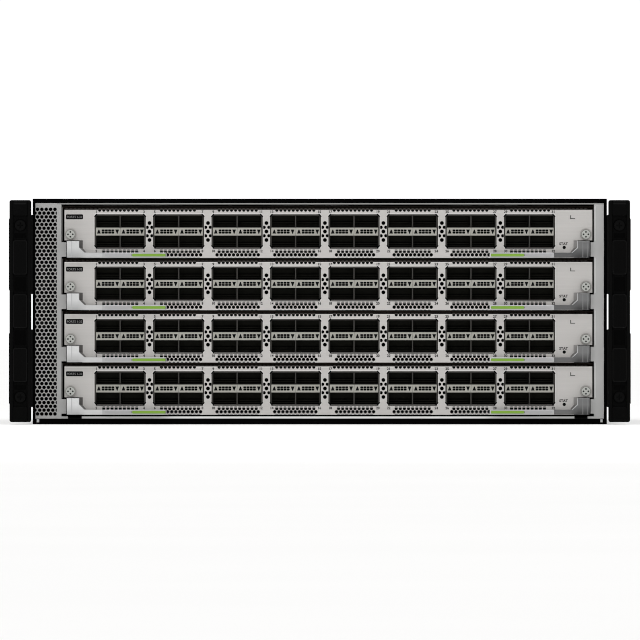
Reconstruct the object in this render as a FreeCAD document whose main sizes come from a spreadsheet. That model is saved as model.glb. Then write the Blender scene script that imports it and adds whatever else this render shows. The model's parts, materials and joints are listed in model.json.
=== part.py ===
import FreeCAD, Part
import math
import os
import re

from FreeCAD import Placement, Rotation, Vector

# Four-unit rack chassis switch: a sheet-metal chassis with four full-width
# line cards that pull out of the front, three fan modules and two supplies
# that pull out of the back. All lengths are millimetres.
# +X to the right, +Y to the back, +Z up. The origin is at the middle of the
# bottom of the whole object's box.

doc = FreeCAD.newDocument("chassis_switch")
dims = doc.addObject("Spreadsheet::Sheet", "dims")

CELLS = [
    # whole chassis
    ("half_ear", 241.3, "half the width over the rack ears (19 inch panel)"),
    ("half_body", 222.9, "half the width of the chassis body"),
    ("wall", 2.0, "chassis sheet thickness"),
    ("body_top", 175.0, "height of the chassis"),
    ("y_sheet", -292.0, "front plane of the chassis sheets"),
    ("y_back", 285.0, "back plane of the chassis"),
    ("y_nose", -300.0, "foremost plane of the ear covers"),
    ("y_tail", 300.0, "rearmost plane of the pull tabs"),
    ("lip_low", 4.2, "height of the floor's front lip"),
    ("lip_high", 171.7, "lower edge of the cover's front lip"),
    ("thin", 1.2, "thickness of frame, grille and tray sheets"),
    # front frame
    ("frame_left", -204.2, "left edge of the front frame"),
    ("frame_right", 220.6, "right edge of the front frame"),
    ("bay_left", -200.65, "left edge of the card bay"),
    ("bay_right", 212.9, "right edge of the card bay"),
    ("bay_low", 6.0, "lower edge of the card bay"),
    ("bay_high", 170.6, "upper edge of the card bay"),
    ("catch_left", -196.9, "inner edge of the left catch tabs"),
    ("catch_right", 210.3, "inner edge of the right catch tabs"),
    ("catch_low", 0.9, "lower edge of a catch tab above its card's bottom"),
    ("catch_high", 12.2, "upper edge of a catch tab above its card's bottom"),
    # side grille
    ("grille_left", -220.8, "left edge of the side grille"),
    ("grille_right", -204.22, "right edge of the side grille"),
    ("grille_hole", 1.32, "radius of a grille hole"),
    ("grille_pitch_x", 3.385, "spacing of grille holes along a row"),
    ("grille_pitch_z", 2.942, "spacing of grille rows"),
    ("grille_first_x", -219.2, "first hole of a five hole row"),
    ("grille_first_z", 7.92, "height of the lowest row"),
    ("grille_rows", 55, "number of grille rows"),
    # cards
    ("slot_pitch", 40.63, "height from one card to the next"),
    ("card_low", 7.2, "bottom of the lowest card"),
    ("card_mid", 6.5, "middle of a card across the chassis"),
    ("face_half", 205.1, "half the width of a card"),
    ("face_trim", 0.3, "how far the faceplate's left edge stops short of that"),
    ("face_tall", 37.3, "height of a faceplate"),
    ("face_front", -291.0, "front plane of the faceplates"),
    ("face_thick", 1.5, "thickness of a faceplate"),
    ("notch_half", 190.9, "half the distance between the lever notches"),
    ("notch_tall", 13.6, "height of the lever notches"),
    ("card_back", 12.0, "back edge of a card's board"),
    ("card_travel", 330.0, "travel of a card until it is free"),
    # port cages, two by two
    ("cage_count", 8, "cages on a card"),
    ("cage_first", -155.05, "middle of the first cage"),
    ("cage_pitch", 45.41, "spacing of the cages"),
    ("cage_half", 19.9, "half the width of a cage"),
    ("cage_low", 7.8, "bottom of a cage above its card's bottom"),
    ("cage_high", 33.8, "top of a cage above its card's bottom"),
    ("cage_skin", 0.35, "thickness of a cage's upper and lower plates"),
    ("cage_side", 1.15, "thickness of a cage's side plates"),
    ("cage_rib", 1.0, "thickness of a cage's middle plates"),
    ("cage_front", -289.3, "front of the cages"),
    ("cage_deep", 48.0, "depth of a cage"),
    ("bar_low", 17.2, "lower edge of the spacer between the port rows"),
    ("bar_high", 24.2, "upper edge of the spacer between the port rows"),
    ("bar_deep", 6.0, "depth of a light bar"),
    ("window_half", 19.9, "half the width of a cage window"),
    ("window_low", 7.7, "lower edge of a cage window"),
    ("window_high", 33.9, "upper edge of a cage window"),
    ("window_cut", 1.1, "cut corner of a cage window"),
    # small holes of a faceplate
    ("hole", 1.22, "radius of a faceplate vent hole"),
    ("hex_hole", 1.4, "radius of a hole between two cages"),
    ("hex_side", 1.27, "radius of the two columns beside them"),
    ("hole_first", -170.95, "first vent hole of the long rows"),
    ("hole_pitch", 3.1985, "spacing of vent holes along the long rows"),
    ("row_top", 37.02, "height of the row on the upper edge"),
    ("row_one", 4.97, "height of the first row under the cages"),
    ("row_two", 2.48, "height of the second row under the cages"),
    ("row_edge", -0.1, "height of the row on the lower edge"),
    ("lamp_x", 189.8, "status lamp hole across the card"),
    ("lamp_z", 8.1, "height of the status lamp hole"),
    ("lamp_hole", 1.2, "radius of the status lamp hole"),
    # captive screws
    ("screw_half", 200.12, "half the distance between the captive screws"),
    ("screw_z", 18.25, "height of the captive screws"),
    ("screw_head", 3.8, "radius of a captive screw head"),
    ("screw_shank", 1.5, "radius of a captive screw shank"),
    ("screw_hole", 2.0, "radius of the faceplate hole for a captive screw"),
    # ejector levers
    ("pivot_half", 198.1, "half the distance between the lever pivots"),
    ("pivot_y", -293.7, "lever pivot in depth"),
    ("knuckle", 4.9, "radius of a lever's round end"),
    ("pin", 2.0, "radius of a pivot stud"),
    ("pin_bore", 2.06, "radius of the bore for the stud"),
    ("lever_tall", 13.1, "height of a lever's round end"),
    ("bar_tall", 4.0, "height of a lever's bar and grip"),
    ("grip_near", 175.1, "inner end of the bar, from the card's middle"),
    ("grip_tip", 125.3, "tip of the grip, from the card's middle"),
    # midplane and fabric board
    ("mid_front", 30.0, "front of the midplane"),
    ("mid_thick", 3.2, "thickness of the midplane"),
    # fan modules
    ("fan_pitch", 142.0, "spacing of the fan modules"),
    ("fan_half", 70.6, "half the width of a fan module"),
    ("fan_low", 49.0, "bottom of a fan module"),
    ("fan_high", 170.6, "top of a fan module"),
    ("fan_front", 196.0, "front of a fan module"),
    ("fan_bore", 56.0, "radius of a fan opening"),
    ("rotor", 53.0, "radius of a rotor"),
    ("hub", 21.0, "radius of a rotor hub"),
    ("rotor_front", 226.0, "front of a rotor"),
    ("rotor_deep", 34.0, "depth of a rotor"),
    ("shaft", 3.0, "radius of a fan shaft"),
    ("shaft_bore", 3.06, "radius of the rotor's bore"),
    ("blades", 7, "blades on a rotor"),
    # supplies
    ("supply_half", 52.0, "half the width of a supply"),
    ("supply_x", 158.0, "middle of a supply from the middle plane"),
    ("supply_low", 3.2, "bottom of a supply"),
    ("supply_high", 43.2, "top of a supply"),
    ("supply_front", 95.0, "front of a supply"),
    # rack ears
    ("ear_inner", 224.1, "inner edge of an ear plate"),
    ("ear_low", 1.6, "bottom of an ear"),
    ("ear_high", 173.9, "top of an ear"),
    ("ear_thick", 2.5, "thickness of an ear plate"),
    ("leg_back", -190.0, "back end of an ear's side leg"),
    ("rack_half", 232.55, "half the distance between the rack screws"),
    ("rack_low", 20.97, "height of the lower rack screws"),
    ("rack_step", 133.35, "height from the lower to the upper rack screws"),
    ("rack_head", 4.1, "radius of a rack screw head"),
    ("rack_shank", 3.0, "radius of a rack screw's thread"),
    ("rack_neck", 2.7, "radius of a rack screw's neck"),
    ("rack_hole", 3.3, "radius of an ear hole"),
]
for row, (alias, value, note) in enumerate(CELLS, start=1):
    dims.set("A%d" % row, note)
    dims.set("B%d" % row, str(value))
    dims.setAlias("B%d" % row, alias)
doc.recompute()
ALIASES = re.compile(r"\b(" + "|".join(sorted((c[0] for c in CELLS), key=len, reverse=True)) + r")\b")


def val(alias):
    """A driving dimension, read from the sheet."""
    return float(dims.get(alias))


def bind(thing, prop, text):
    """Ties a property to the sheet; bare words in text are the sheet's aliases."""
    thing.setExpression(prop, ALIASES.sub(r"dims.\1", str(text)))


nodes = {}
serial = [0]


def fresh(stem):
    serial[0] += 1
    return "%s_%03d" % (stem, serial[0])


def keep(thing, label):
    thing.Label = label
    nodes[label] = thing
    return thing


def block(x0, x1, y0, y1, z0, z1, stem="block"):
    b = doc.addObject("Part::Box", fresh(stem))
    bind(b, "Length", "(%s)-(%s)" % (x1, x0))
    bind(b, "Width", "(%s)-(%s)" % (y1, y0))
    bind(b, "Height", "(%s)-(%s)" % (z1, z0))
    bind(b, "Placement.Base.x", x0)
    bind(b, "Placement.Base.y", y0)
    bind(b, "Placement.Base.z", z0)
    return b


TURN = {
    "+z": Rotation(),
    "+y": Rotation(Vector(1, 0, 0), -90),
    "+x": Rotation(Vector(0, 1, 0), 90),
}


def rod(x, y, z, radius, length, way="+y", stem="rod"):
    c = doc.addObject("Part::Cylinder", fresh(stem))
    c.Placement = Placement(Vector(0, 0, 0), TURN[way])
    bind(c, "Radius", radius)
    bind(c, "Height", length)
    bind(c, "Placement.Base.x", x)
    bind(c, "Placement.Base.y", y)
    bind(c, "Placement.Base.z", z)
    return c


def joined(things, stem="joined"):
    f = doc.addObject("Part::MultiFuse", fresh(stem))
    f.Shapes = things
    f.Refine = True
    return f


def group(things, stem="group"):
    g = doc.addObject("Part::Compound", fresh(stem))
    g.Links = things
    return g


def less(base, tools, stem="less"):
    tool = tools[0] if len(tools) == 1 else group(tools)
    c = doc.addObject("Part::Cut", fresh(stem))
    c.Base = base
    c.Tool = tool
    return c


def rounded(base, picks, radius, stem="rounded"):
    """Fillets the edges that picks accepts."""
    doc.recompute()
    f = doc.addObject("Part::Fillet", fresh(stem))
    f.Base = base
    f.Edges = [(i, radius, radius) for i, e in enumerate(base.Shape.Edges, start=1) if picks(e)]
    return f


def upright(e):
    """A straight edge along the depth of the chassis."""
    d = e.Vertexes[-1].Point - e.Vertexes[0].Point
    return len(e.Vertexes) == 2 and abs(d.y) > 0.5 and abs(d.x) < 1e-6 and abs(d.z) < 1e-6


def plate(loops, rear, thick, stem="plate"):
    """A flat sheet facing the front: a body with one sketch, padded. rear is its back plane."""
    body = doc.addObject("PartDesign::Body", fresh(stem))
    plane = [f for f in body.Origin.OriginFeatures if f.Role == "XZ_Plane"][0]
    sketch = body.newObject("Sketcher::SketchObject", fresh(stem + "_sketch"))
    sketch.AttachmentSupport = [(plane, "")]
    sketch.MapMode = "FlatFace"
    bind(sketch, "AttachmentOffset.Base.z", "-(%s)" % rear)
    geometry = []
    for loop in loops:
        geometry.extend(loop)
    sketch.addGeometry(geometry, False)
    pad = body.newObject("PartDesign::Pad", fresh(stem + "_pad"))
    pad.Profile = sketch
    bind(pad, "Length", thick)
    return body


def ring(points):
    """A closed run of straight lines."""
    p = [Vector(x, z, 0) for x, z in points]
    return [Part.LineSegment(p[i], p[(i + 1) % len(p)]) for i in range(len(p))]


def disc(x, z, radius):
    return [Part.Circle(Vector(x, z, 0), Vector(0, 0, 1), radius)]


def scalloped(start, end, centres, radius, across):
    """A straight edge from start to end with round bites. centres lie on or near it, in order of travel.
    across is 'x' for a level edge and 'z' for an upright one. Returns the pieces."""
    pieces = []
    here = Vector(start[0], start[1], 0)
    for cx, cz in centres:
        off = (start[1] - cz) if across == "x" else (start[0] - cx)
        reach = math.sqrt(radius * radius - off * off)
        if across == "x":
            way = 1 if end[0] > start[0] else -1
            a = Vector(cx - way * reach, start[1], 0)
            b = Vector(cx + way * reach, start[1], 0)
        else:
            way = 1 if end[1] > start[1] else -1
            a = Vector(start[0], cz - way * reach, 0)
            b = Vector(start[0], cz + way * reach, 0)
        pieces.append(Part.LineSegment(here, a))
        # the bite lies on the left-hand side of the travel
        if across == "x":
            middle = Vector(cx, cz + way * radius, 0)
        else:
            middle = Vector(cx - way * radius, cz, 0)
        pieces.append(Part.Arc(a, middle, b))
        here = b
    pieces.append(Part.LineSegment(here, Vector(end[0], end[1], 0)))
    return pieces


# ---------------------------------------------------------------- chassis
# Tub: floor, two sides, the front lip and the back wall with its bays.
tub_parts = [
    block("-half_body", "half_body", "y_sheet", "y_back", "0", "wall"),
    block("-half_body", "-half_body+wall", "y_sheet", "y_back", "0", "body_top-wall"),
    block("half_body-wall", "half_body", "y_sheet", "y_back", "0", "body_top-wall"),
    block("-half_body", "half_body", "y_sheet", "y_sheet+1.5", "0", "lip_low"),
    block("-half_body", "half_body", "y_back-wall", "y_back", "0", "body_top-wall"),
]
tub_cuts = [
    block("-1.5*fan_pitch+0.7", "1.5*fan_pitch-0.7", "y_back-5", "y_back+5", "fan_low+0.3", "fan_high-0.3"),
    block("-supply_x-supply_half+0.3", "-supply_x+supply_half-0.3", "y_back-5", "y_back+5", "supply_low+0.1", "supply_high-0.3"),
    block("supply_x-supply_half+0.3", "supply_x+supply_half-0.3", "y_back-5", "y_back+5", "supply_low+0.1", "supply_high-0.3"),
]
SIDE_SCREWS = [("-270", "32"), ("-270", "148"), ("-205", "32"), ("-205", "148")]
for y, z in SIDE_SCREWS:
    tub_cuts.append(rod("-half_body-1", y, z, "2", "wall+2", "+x"))
    tub_cuts.append(rod("half_body-wall-1", y, z, "2", "wall+2", "+x"))
# bend reliefs at the two lower front corners
for x0, x1 in (("-219.9", "-217.9"), ("217.7", "219.7")):
    tub_cuts.append(block(x0, x1, "y_sheet-1", "y_sheet+3.5", "1.3", "4"))
keep(less(joined(tub_parts), tub_cuts), "chassis_tub")

# Top cover: a flat sheet with a lip over the front and a lip over the back.
keep(
    less(
        joined(
            [
                block("-half_body", "half_body", "y_sheet", "y_back", "body_top-wall", "body_top"),
                block("-half_body", "half_body", "y_sheet", "y_sheet+1.1", "lip_high", "body_top"),
            ]
        ),
        # bend reliefs at the two front corners
        [rod("-220", "y_sheet-1", "173.35", "0.8", "4.5"), rod("219.6", "y_sheet-1", "173.2", "0.8", "4.5")],
    ),
    "top_cover",
)
# the sides end under the cover's lip at the front
corner_cuts = [
    block("-half_body-1", "-half_body+wall+1", "y_sheet-1", "y_sheet+1.3", "lip_high-0.2", "body_top"),
    block("half_body-wall-1", "half_body+1", "y_sheet-1", "y_sheet+1.3", "lip_high-0.2", "body_top"),
]
nodes["chassis_tub"].Label = "chassis_tub_uncut"
keep(less(nodes["chassis_tub"], corner_cuts), "chassis_tub")

# Front frame: one stamped sheet round the card bay, with two catch tabs at each slot.
frame_cuts = [block("bay_left", "bay_right", "y_sheet-1", "y_sheet+3", "bay_low", "bay_high")]
# the bottom rail is relieved under the levers' feet
frame_cuts.append(block("-195.6", "-184.9", "y_sheet-1", "y_sheet+3", "lip_low+0.7", "bay_low+0.1"))
frame_cuts.append(block("197.8", "208", "y_sheet-1", "y_sheet+3", "lip_low+0.7", "bay_low+0.1"))
frame_adds = []
for slot in range(4):
    low = "card_low+%d*slot_pitch+catch_low" % slot
    high = "card_low+%d*slot_pitch+catch_high" % slot
    frame_adds.append(block("frame_left", "catch_left", "y_sheet", "y_sheet+thin", low, high))
    frame_adds.append(block("catch_right", "frame_right", "y_sheet", "y_sheet+thin", low, high))
frame_ring = less(
    block("frame_left", "frame_right-0.1", "y_sheet", "y_sheet+thin", "lip_low+0.1", "lip_high-0.1"),
    frame_cuts,
)
# the two columns are folded back along the bay
frame_returns = [
    block("bay_left-thin", "bay_left", "y_sheet", "y_sheet+9", "lip_low+2.2", "lip_high-1.2"),
    block("bay_right", "bay_right+thin", "y_sheet", "y_sheet+9", "lip_low+2.2", "lip_high-1.2"),
]
keep(joined([frame_ring] + frame_adds + frame_returns), "front_frame")

# Side grille: a perforated sheet between the left wall and the frame.
gl, gr = val("grille_left"), val("grille_right")
gz, gpz, gpx = val("grille_first_z"), val("grille_pitch_z"), val("grille_pitch_x")
gx, ghr = val("grille_first_x"), val("grille_hole")
low, high = val("lip_low") + 0.1, val("lip_high") - 0.1
loops = []
edge_rows = []
for r in range(int(val("grille_rows"))):
    z = gz + r * gpz
    if r % 2 == 0:
        for k in range(5):
            loops.append(disc(gx + k * gpx, z, ghr))
    else:
        for k in range(4):
            loops.append(disc(gx + (k + 0.5) * gpx, z, ghr))
        edge_rows.append(z)
outline = scalloped((gl, low), (gr, low), [], ghr, "x")
outline += scalloped((gr, low), (gr, high), [(gr + 0.25, z) for z in edge_rows], ghr, "z")
outline += scalloped((gr, high), (gl, high), [], ghr, "x")
outline += scalloped((gl, high), (gl, low), [(gl - 0.3, z) for z in reversed(edge_rows)], ghr, "z")
keep(plate([outline] + loops, "y_sheet+thin", "thin", "grille"), "side_grille")

# Card cage: two guide walls and five shelves, slotted together.
cage = [
    block("bay_left-thin-2", "bay_left-2", "y_sheet+14", "mid_front", "card_low-1.5", "bay_high-0.2"),
    block("bay_right+1.1", "bay_right+1.1+thin", "y_sheet+14", "mid_front", "card_low-1.5", "bay_high-0.2"),
]
gaskets = []
for slot in range(5):
    top = "card_low+%d*slot_pitch-slot_pitch+face_tall" % slot
    cage.append(block("bay_left-2", "bay_right+1.1", "y_sheet+14" if slot else "y_sheet+14", "mid_front", top + "+1.9", top + "+2.9"))
keep(group(cage), "card_cage")

# Spring finger strips over each card: a thin folded strip with slits across its fold.
for slot in range(4):
    top = val("card_low") + slot * val("slot_pitch") + val("face_tall")
    y0 = val("y_sheet") + 3.0
    skin = 0.25
    prof = [
        (y0 + 10.9, top + 2.9), (y0 + 0.0, top + 2.9), (y0 - 0.4, top + 2.5), (y0 + 3.2, top + 0.45),
        (y0 + 4.2, top + 0.45), (y0 + 8.0, top + 2.2), (y0 + 8.0 - skin, top + 2.2 + skin),
        (y0 + 4.1, top + 0.45 + skin), (y0 + 3.3, top + 0.45 + skin), (y0 + 0.2, top + 2.45),
        (y0 + 0.4, top + 2.9 - skin), (y0 + 10.9, top + 2.9 - skin),
    ]
    clean = []
    for q in prof:
        if not clean or (abs(q[0] - clean[-1][0]) + abs(q[1] - clean[-1][1])) > 1e-6:
            clean.append(q)
    x0, x1 = val("bay_left") + 0.5, val("bay_right") - 0.5
    wire = Part.makePolygon([Vector(x0, y, z) for y, z in clean] + [Vector(x0, clean[0][0], clean[0][1])])
    strip = Part.Face(wire).extrude(Vector(x1 - x0, 0, 0))
    slits = []
    count = 90
    step = (x1 - x0) / count
    for k in range(1, count):
        slits.append(Part.makeBox(0.5, 8.0, 2.3, Vector(x0 + k * step - 0.25, y0 + 0.6, top + 0.2)))
    fingers = strip.cut(Part.makeCompound(slits))
    g = doc.addObject("Part::Feature", fresh("gasket"))
    g.Shape = fingers
    gaskets.append(g)
keep(group(gaskets), "spring_finger_strips")

# Midplane board with slots for the air, and a socket for each card.
mid = block("bay_left-2", "bay_right+1.1", "mid_front", "mid_front+mid_thick", "card_low", "bay_high-0.2")
mid_cuts = []
for slot in range(4):
    z = "card_low+%d*slot_pitch" % slot
    for x in (-150, -50, 50, 150):
        mid_cuts.append(block("%d-34" % x, "%d+34" % x, "mid_front-2", "mid_front+mid_thick+2", z + "+31.5", z + "+34.4"))
keep(less(mid, mid_cuts), "midplane_board")
sockets = []
for slot in range(4):
    z = "card_low+%d*slot_pitch" % slot
    sockets.append(block("-90", "103", "mid_front-9", "mid_front", z + "+6", z + "+18"))
keep(group(sockets), "midplane_sockets")

# Fabric board behind the midplane: a board with its processor and heat sink.
fabric = [
    block("-150", "150", "mid_front+mid_thick+5", "fan_front-12", "46", "48.4"),
    block("-34", "34", "mid_front+mid_thick+46", "mid_front+mid_thick+114", "48.4", "52"),
]
fabric.append(block("-60", "60", "mid_front+mid_thick+20", "mid_front+mid_thick+140", "52", "57"))
for k in range(15):
    x = -58.7 + k * 8.2
    fabric.append(block("%.2f" % x, "%.2f+2.6" % x, "mid_front+mid_thick+20", "mid_front+mid_thick+140", "57", "100"))
for x in (-120, 120):
    fabric.append(block("%d-14" % x, "%d+14" % x, "mid_front+mid_thick+40", "mid_front+mid_thick+120", "48.4", "60"))
keep(group(fabric), "fabric_board")

# ---------------------------------------------------------------- rack ears
def ear(sign):
    """One ear: an L of sheet, its cover and the two rack screws. sign is -1 for the left."""
    def span(a, b):
        return (a, b) if sign > 0 else ("-(%s)" % b, "-(%s)" % a)
    x0, x1 = span("half_body", "half_ear")
    p0, p1 = span("ear_inner", "half_ear")
    q0, q1 = span("ear_inner", "half_ear-1.2")
    l0, l1 = span("half_body", "ear_inner")
    bracket = joined([
        block(q0, q1, "y_sheet", "y_sheet+ear_thick", "ear_low+1.2", "ear_high-1.2"),
        block(l0, l1, "y_sheet", "leg_back", "13.3", "162.4"),
    ])
    i0, i1 = span("half_body-1", "ear_inner")
    cuts = [block(i0, i1, "y_sheet-1", "leg_back+1", "73.5", "101")]
    rack_x = "rack_half" if sign > 0 else "-rack_half"
    for z in ("rack_low", "rack_low+rack_step"):
        cuts.append(rod(rack_x, "y_sheet-1", z, "rack_hole", "ear_thick+2"))
    side_x = "half_body-1" if sign > 0 else "-ear_inner-1"
    for y, z in SIDE_SCREWS:
        cuts.append(rod(side_x, y, z, "2", "4", "+x"))
    side = "right" if sign > 0 else "left"
    keep(less(bracket, cuts), "ear_bracket_" + side)

    # the cover: a moulded channel with rims, three pads, two screw seats and two end pieces
    rim0, rim1 = span("half_ear-2.9", "half_ear")
    rin0, rin1 = span("ear_inner", "ear_inner+3.0")
    pad0, pad1 = span("ear_inner+2.6", "half_ear-2.6")
    bits = [
        block(p0, p1, "y_nose+5", "y_sheet", "ear_low", "ear_high"),
        block(rim0, rim1, "y_nose+0.6", "y_sheet", "ear_low+2", "ear_high-2"),
        block(rin0, rin1, "y_nose+0.6", "y_sheet", "ear_low+2", "ear_high-2"),
    ]
    for a, b in ((116.3, 143.0), (74.5, 101.0), (32.7, 59.1)):
        bits.append(block(pad0, pad1, "y_nose+0.2", "y_sheet", "%.2f" % a, "%.2f" % b))
    for z in ("rack_low", "rack_low+rack_step"):
        bits.append(block(pad0, pad1, "y_nose+3.6", "y_sheet", z + "-6", z + "+6"))
    bits.append(block(pad0, pad1, "y_nose", "y_sheet", "161.6", "172.5"))
    bits.append(block(pad0, pad1, "y_nose", "y_sheet", "2.1", "10.4"))
    whole = joined(bits)
    holes = []
    for z in ("rack_low", "rack_low+rack_step"):
        holes.append(rod(rack_x, "y_nose-1", z, "rack_hole", "12"))
    step0, step1 = span("half_ear-0.5", "half_ear+1")
    for a, b in (("-1", "15.8"), ("70.4", "104.4"), ("159", "180")):
        holes.append(block(step0, step1, "y_nose-1", "y_sheet+1", a, b))
    cover = less(whole, holes)
    keep(cover, "ear_cover_" + side)
    heads = []
    for z in ("rack_low", "rack_low+rack_step"):
        head = rod(rack_x, "y_nose+0.8", z, "rack_head", "2.8")
        neck = rod(rack_x, "y_nose+3.0", z, "rack_neck", "7.7")
        shank = rod(rack_x, "y_nose+10.7", z, "rack_shank", "14.3")
        slots = [
            block(rack_x + "-2.3", rack_x + "+2.3", "y_nose", "y_nose+2.2", z + "-0.45", z + "+0.45"),
            block(rack_x + "-0.45", rack_x + "+0.45", "y_nose", "y_nose+2.2", z + "-2.3", z + "+2.3"),
        ]
        heads.append(less(joined([head, neck, shank]), slots))
    return heads


keep(group(ear(-1) + ear(1)), "rack_screws")

side_screws = []
for y, z in SIDE_SCREWS:
    for sign in (-1, 1):
        if sign > 0:
            head = rod("ear_inner", y, z, "3.4", "1.2", "+x")
            shank = rod("half_body-wall-1", y, z, "1.9", "ear_inner-half_body+wall+1.6", "+x")
        else:
            head = rod("-ear_inner-1.2", y, z, "3.4", "1.2", "+x")
            shank = rod("-ear_inner-0.6", y, z, "1.9", "ear_inner-half_body+wall+1.6", "+x")
        side_screws.append(joined([head, shank]))
keep(group(side_screws), "side_screws")

# ---------------------------------------------------------------- fan modules
for number, place in ((1, -1), (2, 0), (3, 1)):
    cx = "%d*fan_pitch" % place
    cz = "(fan_low+fan_high)/2"
    side0, side1 = "fan_low+0.6", "fan_high-0.6"
    walls = [
        block(cx + "-fan_half+0.6", cx + "-fan_half+2.6", "fan_front", "y_back", side0, side1),
        block(cx + "+fan_half-2.6", cx + "+fan_half-0.6", "fan_front", "y_back", side0, side1),
        block(cx + "-fan_half+2.6", cx + "+fan_half-2.6", "fan_front", "y_back", side0, "fan_low+2.6"),
        block(cx + "-fan_half+2.6", cx + "+fan_half-2.6", "fan_front", "y_back", "fan_high-2.6", side1),
    ]
    face = less(
        block(cx + "-fan_half", cx + "+fan_half", "y_back", "y_back+2", "fan_low", "fan_high"),
        [rod(cx, "y_back-2", cz, "fan_bore", "6")],
    )
    guard = [rod(cx, "y_back", cz, "hub-2", "2")]
    for r in ("29", "38", "47"):
        guard.append(less(rod(cx, "y_back", cz, r + "+0.9", "2"), [rod(cx, "y_back-1", cz, r + "-0.9", "4")]))
    for angle in (45, 135):
        bar = doc.addObject("Part::Box", fresh("bar"))
        bind(bar, "Length", "2*fan_bore+4")
        bind(bar, "Width", "2")
        bind(bar, "Height", "3")
        c, s = math.cos(math.radians(angle)), math.sin(math.radians(angle))
        bar.Placement = Placement(Vector(0, 0, 0), Rotation(Vector(0, 1, 0), -angle))
        bind(bar, "Placement.Base.x", "%s-(fan_bore+2)*%.9f+1.5*%.9f" % (cx, c, s))
        bind(bar, "Placement.Base.y", "y_back")
        bind(bar, "Placement.Base.z", "%s-(fan_bore+2)*%.9f-1.5*%.9f" % (cz, s, c))
        guard.append(bar)
    motor = rod(cx, "y_back-4", cz, "hub-2", "4")
    spindle = rod(cx, "rotor_front+2", cz, "shaft", "y_back-rotor_front-6")
    tab = block(cx + "+fan_half-9", cx + "+fan_half-6.5", "y_back+2", "y_tail", "fan_low+4", "fan_low+34")
    keep(group(walls + [joined([face] + guard), motor, spindle, tab]), "fan_module_%d" % number)

    hub = rod(cx, "rotor_front", cz, "hub", "rotor_deep", stem="hub")
    parts = [hub]
    count = int(val("blades"))
    for k in range(count):
        blade = doc.addObject("Part::Box", fresh("blade"))
        bind(blade, "Length", "rotor-hub+2.5")
        bind(blade, "Width", "30")
        bind(blade, "Height", "1.8")
        # the blade lies along its own X, pitched about it, then turned about the rotor's axis
        turn = Rotation(Vector(0, 1, 0), 360.0 * k / count).multiply(Rotation(Vector(1, 0, 0), 38))
        x, z = val("fan_pitch") * place, (val("fan_low") + val("fan_high")) / 2
        mid_y = val("rotor_front") + val("rotor_deep") / 2
        start = turn.multVec(Vector(val("hub") - 3.0, -15.0, -0.9))
        blade.Placement = Placement(Vector(x + start.x, mid_y + start.y, z + start.z), turn)
        parts.append(blade)
    keep(less(joined(parts), [rod(cx, "rotor_front+1.5", cz, "shaft_bore", "rotor_deep")]), "fan_rotor_%d" % number)

# ---------------------------------------------------------------- supplies
for side, sign in (("left", "-"), ("right", "")):
    cx = "%s1*supply_x" % sign
    case = block(cx + "-supply_half+0.6", cx + "+supply_half-0.6", "supply_front", "y_back", "supply_low+0.3", "supply_high-0.6")
    face = block(cx + "-supply_half", cx + "+supply_half", "y_back", "y_back+1.6", "supply_low", "supply_high")
    tab = block(cx + "+supply_half-8", cx + "+supply_half-5.5", "y_back+1.6", "y_tail", "supply_low+6", "supply_low+30")
    studs = []
    for x in ("-40", "-24"):
        studs.append(block(cx + x + "-6", cx + x + "+6", "y_back+1.6", "y_back+5", "supply_low+10", "supply_low+30"))
        studs.append(rod(cx + x, "y_back+5", "supply_low+20", "2.5", "8"))
    vents = []
    for i in range(9):
        for j in range(6):
            x = -6.0 + i * 4.6 + (2.3 if j % 2 else 0.0)
            z = 10.0 + j * 4.0
            vents.append(rod("%s+%.2f" % (cx, x), "y_back-4", "supply_low+%.2f" % z, "1.7", "8"))
    keep(group([less(joined([case, face]), vents), tab] + studs), "supply_" + side)

# ---------------------------------------------------------------- lowest card
zb = val("card_low")
mid_x = val("card_mid")


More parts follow.
